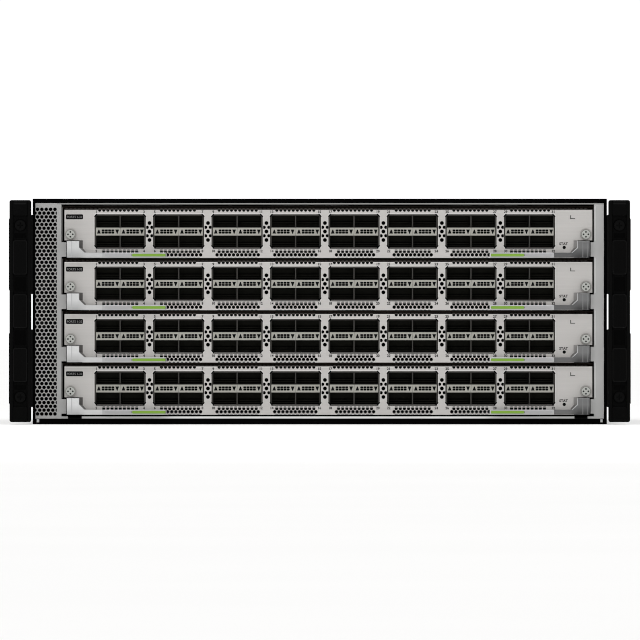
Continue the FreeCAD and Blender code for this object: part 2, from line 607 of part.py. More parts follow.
def card_face():
    """The faceplate: an outline with bites along its long edges, lever notches, windows and vents."""
    xl, xr = mid_x - val("face_half") + val("face_trim"), mid_x + val("face_half")
    nl, nr = mid_x - val("notch_half"), mid_x + val("notch_half")
    top, nt = zb + val("face_tall"), zb + val("notch_tall")
    r, first, step = val("hole"), val("hole_first"), val("hole_pitch")

    def at(i):
        return first + step * i

    runs_top = [(0, 9), (15, 23), (29, 38), (43, 52), (57, 66), (72, 80), (86, 94), (100, 109)]
    runs_one = [(1, 9), (15, 24), (29, 38), (43, 52), (58, 66), (72, 80), (86, 94), (100, 108)]
    runs_two = [(16.5, 24.5), (28.5, 38.5), (42.5, 52.5), (57.5, 66.5), (71.5, 80.5), (85.5, 94.5)]
    runs_edge = [(17, 24), (29, 38), (43, 52), (58, 66), (72, 80), (86, 94)]
    tops = [at(i) for a, b in runs_top for i in range(a, b + 1)]
    edges = [at(i) for a, b in runs_edge for i in range(a, b + 1)]
    outline = []
    outline += scalloped((nl, zb), (nr, zb), [(x, zb + val("row_edge")) for x in edges], r, "x")
    outline += scalloped((nr, zb), (nr, nt), [], r, "z")
    outline += scalloped((nr, nt), (xr, nt), [], r, "x")
    outline += scalloped((xr, nt), (xr, top), [], r, "z")
    outline += scalloped((xr, top), (xl, top), [(x, zb + val("row_top")) for x in reversed(tops)], r, "x")
    outline += scalloped((xl, top), (xl, nt), [], r, "z")
    outline += scalloped((xl, nt), (nl, nt), [], r, "x")
    outline += scalloped((nl, nt), (nl, zb), [], r, "z")
    loops = [outline]
    for a, b in runs_one:
        for i in range(a, b + 1):
            loops.append(disc(at(i), zb + val("row_one"), r))
    for a, b in runs_two:
        i = a
        while i <= b + 0.01:
            loops.append(disc(at(i), zb + val("row_two"), r))
            i += 1.0
    half, cut = val("window_half"), val("window_cut")
    lo, hi = zb + val("window_low"), zb + val("window_high")
    for k in range(int(val("cage_count"))):
        c = val("cage_first") + k * val("cage_pitch")
        loops.append(ring([
            (c - half + cut, lo), (c + half - cut, lo), (c + half, lo + cut), (c + half, hi - cut),
            (c + half - cut, hi), (c - half + cut, hi), (c - half, hi - cut), (c - half, lo + cut),
        ]))
        if k < int(val("cage_count")) - 1:
            m = c + val("cage_pitch") / 2
            for dx, dz in ((0, 13.87), (0, 20.47), (0, 27.07), (-1.5, 17.15), (-1.5, 23.75), (1.5, 17.15), (1.5, 23.75)):
                loops.append(disc(m + dx, zb + dz, val("hex_side" if dx else "hex_hole")))
    for sign in (-1, 1):
        loops.append(disc(mid_x + sign * val("screw_half"), zb + val("screw_z"), val("screw_hole")))
    loops.append(disc(val("lamp_x"), zb + val("lamp_z"), val("lamp_hole")))
    return plate(loops, "face_front+face_thick", "face_thick", "face")


master = {}
master["faceplate"] = card_face()

# Tray: a floor with two side walls, and a round lip with a stud under each lever.
tray = [
    block("card_mid-face_half+2.9", "card_mid+face_half-2.9", "face_front+face_thick+0.1", "card_back", "card_low+0.2", "card_low+1.2"),
    block("card_mid-face_half+2.9", "card_mid-face_half+4.1", "face_front+14", "card_back", "card_low+0.2", "card_low+26"),
    block("card_mid+face_half-4.1", "card_mid+face_half-2.9", "face_front+14", "card_back", "card_low+0.2", "card_low+26"),
]
for sign in ("-", "+"):
    px = "card_mid%spivot_half" % sign
    tray.append(rod(px, "pivot_y", "card_low+0.2", "knuckle-0.5", "1", "+z"))
    tray.append(block(px + "-knuckle+0.5", px + "+knuckle-0.5", "pivot_y", "face_front+face_thick+1", "card_low+0.2", "card_low+1.2"))
    tray.append(rod(px, "pivot_y", "card_low+1", "pin", "10.3", "+z"))
master["tray"] = joined(tray)

# Board with its soldered parts: module chips under finned sinks, and the plug at the back.
board = [
    block("card_mid-186", "card_mid+186", "cage_front+3", "card_back", "card_low+5.2", "card_low+7.2"),
    block("-88", "101", "card_back-26", "mid_front-9.6", "card_low+7.2", "card_low+17"),
]
for x in (-132.0, -40.0, 52.0, 144.0):
    sink = [block("%.1f-24" % x, "%.1f+24" % x, "-190", "-120", "card_low+7.2", "card_low+12")]
    for k in range(9):
        sink.append(block("%.1f-24+%.2f" % (x, k * 5.85), "%.1f-22.8+%.2f" % (x, k * 5.85), "-190", "-120", "card_low+12", "card_low+29"))
    board.append(joined(sink))
for x in (-110.0, -66.0, 78.0, 122.0):
    board.append(block("%.1f-11" % x, "%.1f+11" % x, "-90", "-68", "card_low+7.2", "card_low+12.5"))
    board.append(block("%.1f-7" % x, "%.1f+7" % x, "-54", "-34", "card_low+7.2", "card_low+15"))
master["board"] = group(board)

# Port cages: each is stamped plates that latch together round four openings.
plates = []
bars = []
for k in range(int(val("cage_count"))):
    c = "cage_first+%d*cage_pitch" % k
    y0, y1 = "cage_front", "cage_front+cage_deep"
    lo, hi = "card_low+cage_low", "card_low+cage_high"
    inner = "cage_half-cage_side"
    plates.append(block(c + "-cage_half", c + "+cage_half", y0, y1, hi + "-cage_skin", hi))
    plates.append(block(c + "-cage_half", c + "+cage_half", y0, y1, lo, lo + "+cage_skin"))
    plates.append(block(c + "-cage_half", c + "-(" + inner + ")", y0, y1, lo + "+cage_skin", hi + "-cage_skin"))
    plates.append(block(c + "+" + inner, c + "+cage_half", y0, y1, lo + "+cage_skin", hi + "-cage_skin"))
    plates.append(block(c + "-(" + inner + ")", c + "+" + inner, y0, y1, "card_low+bar_high-0.5", "card_low+bar_high"))
    plates.append(block(c + "-(" + inner + ")", c + "+" + inner, y0, y1, "card_low+bar_low", "card_low+bar_low+0.5"))
    plates.append(block(c + "-cage_rib/2", c + "+cage_rib/2", y0, y1, "card_low+bar_high", hi + "-cage_skin"))
    plates.append(block(c + "-cage_rib/2", c + "+cage_rib/2", y0, y1, lo + "+cage_skin", "card_low+bar_low"))
    plates.append(block(c + "-cage_half", c + "+cage_half", y1, y1 + "+1", lo, hi))
    bars.append(block(c + "-(" + inner + ")", c + "+" + inner, y0, y0 + "+bar_deep", "card_low+bar_low+0.5", "card_low+bar_high-0.5"))
master["port_cages"] = group(plates)
master["light_bars"] = group(bars)

# Captive screw: head, collar and shank, with four driver dimples.
def captive(sign):
    x = "card_mid%sscrew_half" % sign
    z = "card_low+screw_z"
    head = rod(x, "face_front-4.8", z, "screw_head", "3.5")
    collar = rod(x, "face_front-1.3", z, "2.6", "1.2")
    shank = rod(x, "face_front-0.1", z, "screw_shank", "9.1")
    dots = []
    for k in range(4):
        a = math.radians(90 * k)
        dots.append(rod("%s+%.4f" % (x, 1.86 * math.cos(a)), "face_front-6", "%s+%.4f" % (z, 1.86 * math.sin(a)), "0.6", "2.6"))
    return group([less(head, dots), collar, shank])


master["screw_left"] = captive("-")
master["screw_right"] = captive("+")

# Ejector lever: a round end on its stud, a web down to a bar, a grip and a claw.
def lever_left():
    px = "card_mid-pivot_half"
    base = mid_x - val("pivot_half")
    near = mid_x - val("grip_near")
    round_end = rod(px, "pivot_y", "card_low+1.5", "knuckle", "lever_tall-1.5", "+z")
    claw = block(px + "-4.6", px + "-1.2", "pivot_y+1", "pivot_y+9.7", "card_low+2.5", "card_low+12")
    web = plate(
        [ring([
            (base + 2.4, zb + 1.5), (base + 12, zb + 1.5), (base + 12, zb + 0.2), (near, zb + 0.2),
            (near, zb + val("bar_tall")), (base + 9.0, zb + val("bar_tall") + 0.05), (base + 4.8, zb + 8.05), (base + 2.4, zb + 8.05),
        ])],
        "face_front-4.2", "2", "web",
    )
    web_fixed = joined([round_end, claw, web])
    tip = "card_mid-grip_tip"
    grip = block("card_mid-grip_near-0.2", tip, "face_front-8.6", "face_front-2.6", "card_low+0.2", "card_low+bar_tall")
    doc.recompute()
    shaped = doc.addObject("Part::Chamfer", fresh("grip"))
    shaped.Base = grip
    tip_x = mid_x - val("grip_tip")
    picks = [
        (i, 1.1, 1.1) for i, e in enumerate(grip.Shape.Edges, start=1)
        if all(abs(q.Point.x - tip_x) < 1e-4 for q in e.Vertexes)
    ]
    shaped.Edges = picks
    groove = block("card_mid-grip_near+3", "card_mid-grip_tip-30", "face_front-9", "face_front-7.8", "card_low+1.2", "card_low+3.0")
    bore = rod(px, "pivot_y", "card_low+1", "pin_bore", "10.8", "+z")
    return less(joined([web_fixed, shaped]), [groove, bore])


left_lever = lever_left()
right_lever = doc.addObject("Part::Mirroring", fresh("mirrored"))
right_lever.Source = left_lever
right_lever.Normal = Vector(1, 0, 0)
right_lever.Base = Vector(mid_x, 0, 0)
master["lever_left"] = left_lever
master["lever_right"] = right_lever

# The four cards are alike: card 1 is the highest, card 4 the lowest.
for name, thing in master.items():
    keep(thing, "card_4_" + name)
for number in (3, 2, 1):
    for name, thing in master.items():
        copy = doc.addObject("Part::Compound", fresh("copy"))
        copy.Links = [thing]
        bind(copy, "Placement.Base.z", "%d*slot_pitch" % (4 - number))
        keep(copy, "card_%d_%s" % (number, name))

# ---------------------------------------------------------------- results
doc.recompute()
bad = []
for o in doc.Objects:
    if "Invalid" in o.State or "Error" in o.State:
        bad.append("%s %s" % (o.Name, o.State))
for label, thing in nodes.items():
    shape = thing.Shape
    if shape.isNull() or not shape.isValid() or not shape.Solids:
        bad.append("%s has a bad shape" % label)
if bad:
    raise RuntimeError("; ".join(bad))

os.makedirs("parts", exist_ok=True)
low, high = [1e9] * 3, [-1e9] * 3
for label, thing in nodes.items():
    if label.endswith("_uncut"):
        continue
    thing.Shape.exportStep("parts/%s.step" % label)
    b = thing.Shape.BoundBox
    low = [min(a, c) for a, c in zip(low, (b.XMin, b.YMin, b.ZMin))]
    high = [max(a, c) for a, c in zip(high, (b.XMax, b.YMax, b.ZMax))]
    print("%-26s solids %3d volume %10.1f  x %8.2f %8.2f  y %8.2f %8.2f  z %7.2f %7.2f" % (
        label, len(thing.Shape.Solids), thing.Shape.Volume, b.XMin, b.XMax, b.YMin, b.YMax, b.ZMin, b.ZMax))
print("box", [round(v, 3) for v in low], [round(v, 3) for v in high])
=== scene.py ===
import json
import math

import bmesh
import bpy
from mathutils import Matrix, Vector


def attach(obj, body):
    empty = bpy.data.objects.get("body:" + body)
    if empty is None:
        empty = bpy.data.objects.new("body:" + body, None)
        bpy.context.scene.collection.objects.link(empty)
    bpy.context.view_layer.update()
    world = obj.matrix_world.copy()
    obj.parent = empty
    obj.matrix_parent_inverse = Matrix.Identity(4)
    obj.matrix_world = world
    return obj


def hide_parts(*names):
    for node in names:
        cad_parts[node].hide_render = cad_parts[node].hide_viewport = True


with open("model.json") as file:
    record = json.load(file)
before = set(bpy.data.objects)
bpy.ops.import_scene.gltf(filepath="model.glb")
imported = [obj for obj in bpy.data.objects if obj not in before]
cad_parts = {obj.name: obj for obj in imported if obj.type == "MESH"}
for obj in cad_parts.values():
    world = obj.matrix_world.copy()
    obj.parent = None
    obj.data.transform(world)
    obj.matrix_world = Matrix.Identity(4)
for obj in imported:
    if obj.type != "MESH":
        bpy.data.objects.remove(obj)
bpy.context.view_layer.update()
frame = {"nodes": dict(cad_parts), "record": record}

NODES = frame["nodes"]
RECORD = frame["record"]
scene = bpy.context.scene
scene.view_settings.view_transform = "Standard"
scene.cycles.filter_width = 1.0

# ------------------------------------------------------------------ numbers, in millimetres
PITCH, LOW = 40.63, 7.2
FACE = -291.0
CAGE0, CAGE_STEP = -155.05, 45.41
HOLE0, HOLE_STEP = -170.95, 3.1985


def base(card):
    """Bottom of a card's faceplate; card 1 is the highest."""
    return LOW + (4 - card) * PITCH


# ------------------------------------------------------------------ materials
class Net:
    """A small helper to write a material's node network."""

    def __init__(self, name):
        self.mat = bpy.data.materials.new(name)
        self.mat.use_nodes = True
        self.tree = self.mat.node_tree
        self.tree.nodes.clear()
        self.out = self.tree.nodes.new("ShaderNodeOutputMaterial")
        self.shader = self.tree.nodes.new("ShaderNodeBsdfPrincipled")
        self.tree.links.new(self.shader.outputs[0], self.out.inputs[0])
        self.coords = self.tree.nodes.new("ShaderNodeTexCoord")
        self.place = self.coords.outputs["Object"]

    def link(self, a, b):
        self.tree.links.new(a, b)

    def set(self, name, value):
        self.shader.inputs[name].default_value = value

    def mapped(self, scale, source=None):
        m = self.tree.nodes.new("ShaderNodeMapping")
        m.inputs["Scale"].default_value = scale
        self.link(source or self.place, m.inputs["Vector"])
        return m.outputs[0]

    def noise(self, scale, detail=3.0, rough=0.55):
        n = self.tree.nodes.new("ShaderNodeTexNoise")
        n.inputs["Scale"].default_value = 1.0
        n.inputs["Detail"].default_value = detail
        n.inputs["Roughness"].default_value = rough
        self.link(self.mapped(scale), n.inputs["Vector"])
        return n.outputs["Fac"]

    def range(self, fac, a, b, c, d):
        r = self.tree.nodes.new("ShaderNodeMapRange")
        r.inputs["From Min"].default_value = a
        r.inputs["From Max"].default_value = b
        r.inputs["To Min"].default_value = c
        r.inputs["To Max"].default_value = d
        self.link(fac, r.inputs["Value"])
        return r.outputs[0]

    def math(self, op, a, b=None):
        m = self.tree.nodes.new("ShaderNodeMath")
        m.operation = op
        for i, v in enumerate((a, b)):
            if v is None:
                continue
            if isinstance(v, (int, float)):
                m.inputs[i].default_value = v
            else:
                self.link(v, m.inputs[i])
        return m.outputs[0]

    def mix(self, fac, a, b):
        m = self.tree.nodes.new("ShaderNodeMix")
        m.data_type = "RGBA"
        for i, v in ((0, fac), (6, a), (7, b)):
            if isinstance(v, (tuple, list)):
                m.inputs[i].default_value = (*v[:3], 1.0)
            elif isinstance(v, (int, float)):
                m.inputs[i].default_value = v
            else:
                self.link(v, m.inputs[i])
        return m.outputs[2]

    def axes(self):
        s = self.tree.nodes.new("ShaderNodeSeparateXYZ")
        self.link(self.place, s.inputs[0])
        return s.outputs[0], s.outputs[1], s.outputs[2]

    def facing(self, axis):
        """The surface's own normal along an axis of the object."""
        g = self.tree.nodes.new("ShaderNodeSeparateXYZ")
        self.link(self.coords.outputs["Normal"], g.inputs[0])
        return g.outputs[axis]

    def bump(self, height, distance, strength=1.0):
        b = self.tree.nodes.new("ShaderNodeBump")
        b.inputs["Strength"].default_value = strength
        b.inputs["Distance"].default_value = distance
        self.link(height, b.inputs["Height"])
        self.link(b.outputs[0], self.shader.inputs["Normal"])

    def colour(self, socket):
        self.link(socket, self.shader.inputs["Base Color"])

    def rough(self, socket):
        self.link(socket, self.shader.inputs["Roughness"])


def shade(c, k):
    return tuple(min(1.0, v * k) for v in c)


def brushed(name, tone, metal=0.6, rough=0.42, grain=0.07, along="x", spec=0.5, lines=(), blotch=0.05, zones=(), touch=None):
    n = Net(name)
    n.set("Metallic", metal)
    n.set("Specular IOR Level", spec)
    scales = {"x": ((18, 900, 900), (5, 260, 260)), "z": ((900, 900, 18), (260, 260, 5))}[along]
    fine = n.noise(scales[0], 4.0, 0.6)
    broad = n.noise(scales[1], 3.0, 0.5)
    cloud = n.noise((9, 9, 9), 2.0, 0.5)
    both = n.math("ADD", n.math("MULTIPLY", fine, 0.6), n.math("MULTIPLY", broad, 0.4))
    body = n.mix(n.range(both, 0.35, 0.65, 0.0, 1.0), shade(tone, 1 - grain), shade(tone, 1 + grain))
    body = n.mix(n.range(cloud, 0.35, 0.65, 0.0, 1.0), body, n.mix(0.5, body, shade(tone, 1 + blotch)))
    x, y, z = n.axes()
    for at, width, dark in lines:
        near = n.math("LESS_THAN", n.math("ABSOLUTE", n.math("SUBTRACT", x, at / 1000)), width / 1000)
        body = n.mix(n.math("MULTIPLY", near, dark), body, shade(tone, 0.45))
    for axis, kind, limit, dark in zones:
        if kind == "FADE":
            low, high = limit
            hit = n.range((x, y, z)[axis], low / 1000, high / 1000, 1.0, 0.0)
        else:
            hit = n.math(kind, (x, y, z)[axis], limit / 1000)
        body = n.mix(n.math("MULTIPLY", hit, dark), body, shade(tone, 0.5))
    if touch:
        # the part of a pull tab that is gripped is coated green
        grip = n.math("GREATER_THAN", y, touch / 1000)
        body = n.mix(grip, body, (0.16, 0.32, 0.035))
        n.link(n.range(grip, 0.0, 1.0, metal, 0.0), n.shader.inputs["Metallic"])
    n.colour(body)
    n.rough(n.range(both, 0.3, 0.7, rough - 0.05, rough + 0.08))
    n.bump(both, 0.00002, 0.35)
    return n.mat


def paint(name, tone, rough=0.55, spec=0.3, metal=0.0, pebble=0.00002, vary=0.08, strength=0.5, zones=()):
    n = Net(name)
    n.set("Metallic", metal)
    n.set("Specular IOR Level", spec)
    grit = n.noise((1400, 1400, 1400), 2.0, 0.5)
    cloud = n.noise((22, 22, 22), 3.0, 0.5)
    body = n.mix(n.range(cloud, 0.3, 0.7, 0.0, 1.0), shade(tone, 1 - vary), shade(tone, 1 + vary))
    for axis, kind, limit, factor in zones:
        hit = n.math(kind, n.axes()[axis], limit / 1000)
        scaled = tuple(min(1.0, c * factor) for c in tone)
        body = n.mix(hit, body, scaled)
    n.colour(body)
    n.rough(n.range(cloud, 0.3, 0.7, rough - 0.04, rough + 0.06))
    n.bump(grit, pebble, strength)
    return n.mat


M = {}
# the faceplate darkens toward its left edge, X -190 to -176 mm: painted shade beside the frame column
M["faceplate"] = brushed("brushed_faceplate_and_edge_shade", (0.52, 0.505, 0.49), metal=0.45, rough=0.45, grain=0.05, lines=((-176.8, 0.25, 0.12), (184.2, 0.25, 0.12)),
    zones=((0, "FADE", (-190.0, -176.0), 0.17),))
M["tray"] = brushed("zinc_sheet", (0.50, 0.51, 0.51), metal=0.7, rough=0.4, grain=0.06, along="z", blotch=0.12)


def lever_sheet(name, tone, low, bar):
    """Satin sheet in painted light: painted shade darkens it toward the foot of the upright, and the bar gets its own
    painted tone.
    """
    n = Net(name)
    n.set("Metallic", 0.2)
    n.set("Specular IOR Level", 0.4)
    coord = n.tree.nodes.new("ShaderNodeTexCoord")
    part = n.tree.nodes.new("ShaderNodeSeparateXYZ")
    n.link(coord.outputs["Generated"], part.inputs[0])
    x, y, z = n.axes()
    grain = n.noise((900, 900, 60), 2.0, 0.5)
    foot = n.range(part.outputs[2], 0.10, 0.60, 0.0, 1.0)
    upright = n.mix(foot, shade(tone, low), tone)
    far = n.math("ABSOLUTE", n.math("SUBTRACT", x, 0.0065))
    body = n.mix(n.range(far, 0.1872, 0.1945, 0.0, 1.0), shade(tone, bar), upright)
    streak = n.range(grain, 0.3, 0.7, 0.0, 1.0)
    n.colour(n.mix(n.math("MULTIPLY", streak, 0.06), body, shade(tone, 0.6)))
    n.rough(n.range(grain, 0.3, 0.7, 0.38, 0.46))
    n.bump(grain, 0.00001, 0.3)
    return n.mat


# painted light on the levers: per-card gains follow how the light changes down the stack; the left levers get a lit
# copy and the right ones a shaded copy, as painted reflections
for card, lit_gain, shade_gain, bar_shade in ((1, 1.0, 1.0, 0.64), (2, 1.05, 1.06, 0.66), (3, 1.10, 1.12, 0.70), (4, 1.16, 1.08, 0.84)):
    M["lever_light_%d" % card] = lever_sheet("lever_satin_light_%d" % card, shade((0.575, 0.58, 0.58), lit_gain), 0.66, 0.88)
    M["lever_dark_%d" % card] = lever_sheet("lever_satin_dark_%d" % card, shade((0.150, 0.151, 0.152), shade_gain), 0.24, bar_shade)
M["lever_highlight"] = brushed("lever_edge_line", (0.47, 0.475, 0.48), metal=0.2, rough=0.4, grain=0.02)
M["lever_crease_shade"] = brushed("lever_crease_painted_shade", (0.42, 0.425, 0.43), metal=0.2, rough=0.4, grain=0.02)
M["dimple_shade"] = brushed("driver_dimple_painted_shade", (0.035, 0.036, 0.034), metal=0.2, rough=0.5, grain=0.1, spec=0.2)
M["bend_highlight"] = brushed("frame_bend_highlight", (0.52, 0.525, 0.52), metal=0.2, rough=0.45, grain=0.03)
M["rim_shade"] = brushed("window_edge_shade", (0.13, 0.125, 0.12), metal=0.4, rough=0.45, grain=0.05)
M["halo_shade"] = brushed("screw_halo_painted_shade", (0.40, 0.385, 0.37), metal=0.45, rough=0.45, grain=0.03)
M["reveal_shade"] = brushed("frame_wall_painted_shade", (0.10, 0.098, 0.094), metal=0.2, rough=0.5, grain=0.05, spec=0.2)
M["lever_ridge_highlight"] = brushed("lever_ridge_painted_highlight", (0.21, 0.212, 0.214), metal=0.2, rough=0.4, grain=0.02)
M["grip"] = brushed("grip_satin", (0.425, 0.428, 0.432), metal=0.2, rough=0.42, grain=0.03)
M["grip_edge_highlight"] = brushed("grip_edge_highlight", (0.52, 0.52, 0.54), metal=0.2, rough=0.4, grain=0.02)
M["grip_groove_shade"] = brushed("grip_groove_shade", (0.385, 0.388, 0.392), metal=0.2, rough=0.4, grain=0.02)
M["notch_shade_dark"] = brushed("notch_painted_shade_dark", (0.085, 0.080, 0.076), metal=0.2, rough=0.5, grain=0.05)
M["painted_light_mid"] = brushed("painted_light_mid_grey", (0.20, 0.194, 0.188), metal=0.2, rough=0.5, grain=0.05)
M["notch_lit_painted"] = brushed("notch_painted_lit", (0.27, 0.262, 0.255), metal=0.2, rough=0.5, grain=0.05)
M["finger"] = brushed("finger_edge", (0.020, 0.017, 0.015), metal=0.2, rough=0.55, grain=0.2, spec=0.2)
M["finger_lit"] = brushed("finger_edge_lit", (0.055, 0.050, 0.046), metal=0.2, rough=0.55, grain=0.1, spec=0.2)
M["screw_rim"] = brushed("screw_rim", (0.17, 0.17, 0.16), metal=0.2, rough=0.5, grain=0.05)
M["ear_pad"] = paint("ear_pad_plastic", (0.0012, 0.0012, 0.0012), rough=0.6, spec=0.04, vary=0.1, pebble=0.00003)
M["ear_deep"] = paint("ear_deep_plastic", (0.0012, 0.0012, 0.0012), rough=0.7, spec=0.02, vary=0.1, pebble=0.00003)
M["ear_line"] = paint("ear_lit_edge", (0.0062, 0.0062, 0.0062), rough=0.6, spec=0.04, vary=0.1, pebble=0.00002)
# painted light on the frame: the left column darker and the right one lighter than the paint, and the strip above z =
# 170.6 mm darker
M["grey"] = paint("grey_frame_paint_and_painted_light", (0.385, 0.385, 0.38), rough=0.5, spec=0.4, vary=0.04,
    zones=((0, "LESS_THAN", -190.0, 0.93), (0, "GREATER_THAN", 200.0, 1.15), (2, "GREATER_THAN", 170.6, 0.64)))
# the perforated field keeps a darker tone than the solid ends above 167.6 mm and below 6.2 mm: painted shade for its
# holes
M["grille"] = paint("grey_grille_paint_and_hole_shade", (0.315, 0.315, 0.31), rough=0.5, spec=0.4, vary=0.05,
    zones=((2, "GREATER_THAN", 167.6, 1.14), (2, "LESS_THAN", 6.2, 1.14)))
# the coat is far darker in front of y = -286 mm: painted shade on the front lips
M["black"] = paint("black_powder_coat_and_front_shade", (0.0008, 0.0008, 0.0009), rough=0.6, spec=0.012, vary=0.2, pebble=0.00004,
    zones=((1, "GREATER_THAN", -286.0, 14.0),))
M["ear"] = paint("black_ear_plastic", (0.0019, 0.0019, 0.0019), rough=0.6, spec=0.035, vary=0.15, pebble=0.00003)
M["black_screw"] = brushed("black_oxide", (0.0016, 0.0016, 0.0016), metal=0.0, rough=0.5, grain=0.2, spec=0.05)
M["screw"] = brushed("nickel_screw", (0.435, 0.445, 0.42), metal=0.35, rough=0.42, grain=0.04)
# near-black spring fingers: painted shade of the gap between the cards
M["copper_shade"] = brushed("spring_copper", (0.020, 0.015, 0.012), metal=0.3, rough=0.55, grain=0.25, spec=0.15)
# near-black card cage and port cages: painted shade for the insides seen through the windows and vents
M["port_cage_shade"] = brushed("cage_inside_painted_shade", (0.006, 0.006, 0.0055), metal=0.1, rough=0.6, grain=0.1, spec=0.1)
M["cage_shade"] = paint("cage_painted_shade", (0.004, 0.004, 0.004), rough=0.85, spec=0.02)
M["cage_edge_shade"] = brushed("cage_edge_shade", (0.046, 0.044, 0.040), metal=0.2, rough=0.55, grain=0.12, spec=0.2)
M["cage_lip_shade"] = brushed("cage_lip_shade", (0.10, 0.095, 0.088), metal=0.3, rough=0.5, grain=0.12, spec=0.2)
M["window_line_highlight"] = brushed("pressed_edge_painted_highlight", (0.62, 0.61, 0.595), metal=0.4, rough=0.45, grain=0.03)
M["cage_shell"] = brushed("cage_shell", (0.50, 0.49, 0.47), metal=0.8, rough=0.35, grain=0.07)
M["port_dark"] = paint("port_plastic", (0.012, 0.012, 0.010), rough=0.7, spec=0.05)
M["port_mid"] = paint("port_plastic_lit", (0.021, 0.021, 0.017), rough=0.7, spec=0.05)
M["bar"] = paint("light_bar", (0.37, 0.365, 0.33), rough=0.5, spec=0.3, vary=0.03)
M["ink"] = paint("black_mark", (0.003, 0.003, 0.003), rough=0.6, spec=0.08)
M["ink_print"] = paint("dark_print", (0.03, 0.029, 0.028), rough=0.6, spec=0.1)
M["ink_soft"] = paint("grey_print", (0.07, 0.068, 0.065), rough=0.6, spec=0.1)
M["ink_white"] = paint("white_print", (0.23, 0.23, 0.23), rough=0.6, spec=0.2)
M["green"] = paint("green_touch", (0.19, 0.355, 0.036), rough=0.42, spec=0.35, vary=0.04)
M["bright"] = paint("bright_strip", (0.72, 0.73, 0.73), rough=0.4, spec=0.4, vary=0.02)
M["bright_edge_highlight"] = brushed("bright_edge_painted_highlight", (0.66, 0.65, 0.63), metal=0.4, rough=0.4, grain=0.03)
M["rotor"] = paint("rotor_nylon", (0.018, 0.018, 0.019), rough=0.45, spec=0.4)
M["supply"] = brushed("supply_zinc", (0.42, 0.42, 0.41), metal=0.7, rough=0.42, grain=0.07, along="z", touch=290.2)
M["fan"] = brushed("fan_zinc", (0.38, 0.385, 0.385), metal=0.7, rough=0.42, grain=0.06, along="x", touch=290.0)
M["socket"] = paint("socket_black", (0.012, 0.012, 0.013), rough=0.5, spec=0.3)
M["chip"] = paint("chip_black", (0.015, 0.015, 0.016), rough=0.4, spec=0.4)
M["gold"] = brushed("gold_pin", (0.65, 0.42, 0.14), metal=1.0, rough=0.35, grain=0.05)
M["sink"] = brushed("sink_aluminium", (0.55, 0.56, 0.57), metal=0.85, rough=0.36, grain=0.05)

M["cover_steel"] = paint("black_cover_coat", (0.0095, 0.0095, 0.010), rough=0.5, spec=0.25, vary=0.12, pebble=0.00006, strength=0.8)
# the coat is far darker in front of y = -288 mm: painted shade on the bracket's front
M["bracket"] = paint("black_bracket_coat_and_front_shade", (0.0012, 0.0012, 0.0013), rough=0.5, spec=0.1, vary=0.12, pebble=0.00006, strength=0.8,
    zones=((1, "GREATER_THAN", -288.0, 9.0),))
M["black_steel"] = brushed("blackened_screw", (0.030, 0.030, 0.031), metal=0.3, rough=0.4, grain=0.15, spec=0.3)
# near-black fill for recesses, slots and holes: painted shade
M["recess_shade"] = paint("recess_painted_shade", (0.0015, 0.0015, 0.0015), rough=0.7, spec=0.03, vary=0.2)
M["rear_mesh"] = brushed("rear_mesh_sheet", (0.16, 0.16, 0.16), metal=0.6, rough=0.45, grain=0.08)
M["lens_green"] = paint("green_lens", (0.05, 0.30, 0.08), rough=0.25, spec=0.6, vary=0.05)
M["lens_amber"] = paint("amber_lens", (0.45, 0.20, 0.03), rough=0.25, spec=0.6, vary=0.05)
M["thumb"] = brushed("thumb_screw_metal", (0.45, 0.45, 0.44), metal=0.75, rough=0.35, grain=0.06)
M["coil"] = paint("coil_grey", (0.06, 0.06, 0.062), rough=0.5, spec=0.3, vary=0.1)
M["can"] = brushed("capacitor_can", (0.55, 0.56, 0.57), metal=0.8, rough=0.3, grain=0.04)
M["tin"] = brushed("tin_solder", (0.55, 0.55, 0.54), metal=0.8, rough=0.35, grain=0.05)
M["grille_rim"] = brushed("grille_hole_edge_shade", (0.030, 0.030, 0.029), metal=0.2, rough=0.55, grain=0.1, spec=0.2)
M["hex_rim"] = brushed("plate_hole_edge_shade", (0.045, 0.043, 0.041), metal=0.2, rough=0.55, grain=0.1, spec=0.2)


def board_material():
    """Green boards: traces and pads on the board itself, darker parts above it."""
    n = Net("circuit_board")
    n.set("Specular IOR Level", 0.12)
    b = n.tree.nodes.new("ShaderNodeTexBrick")
    b.inputs["Scale"].default_value = 1.0
    b.inputs["Mortar Size"].default_value = 0.06
    b.inputs["Color1"].default_value = (0.003, 0.008, 0.005, 1)
    b.inputs["Color2"].default_value = (0.004, 0.010, 0.007, 1)
    b.inputs["Mortar"].default_value = (0.007, 0.020, 0.013, 1)
    n.link(n.mapped((160, 95, 95)), b.inputs["Vector"])
    v = n.tree.nodes.new("ShaderNodeTexVoronoi")
    v.inputs["Scale"].default_value = 1.0
    n.link(n.mapped((420, 420, 420)), v.inputs["Vector"])
    pads = n.math("LESS_THAN", v.outputs["Distance"], 0.16)
    x, y, z = n.axes()
    # tin pads only from 66 mm behind the faceplate: in front of that the board stays dark as painted shade where it
    # shows through the vents
    inner = n.math("GREATER_THAN", y, -0.225)
    face = n.mix(n.math("MULTIPLY", pads, inner), b.outputs[0], (0.30, 0.27, 0.17))
    n.colour(face)
    n.rough(n.range(v.outputs["Distance"], 0.0, 0.6, 0.38, 0.55))
    n.bump(v.outputs["Distance"], 0.00005, 0.3)
    return n.mat


M["board"] = board_material()


def dress(node, *mats):
    o = NODES[node]
    o.data.materials.clear()
    o.data.materials.append(M[mats[0]])


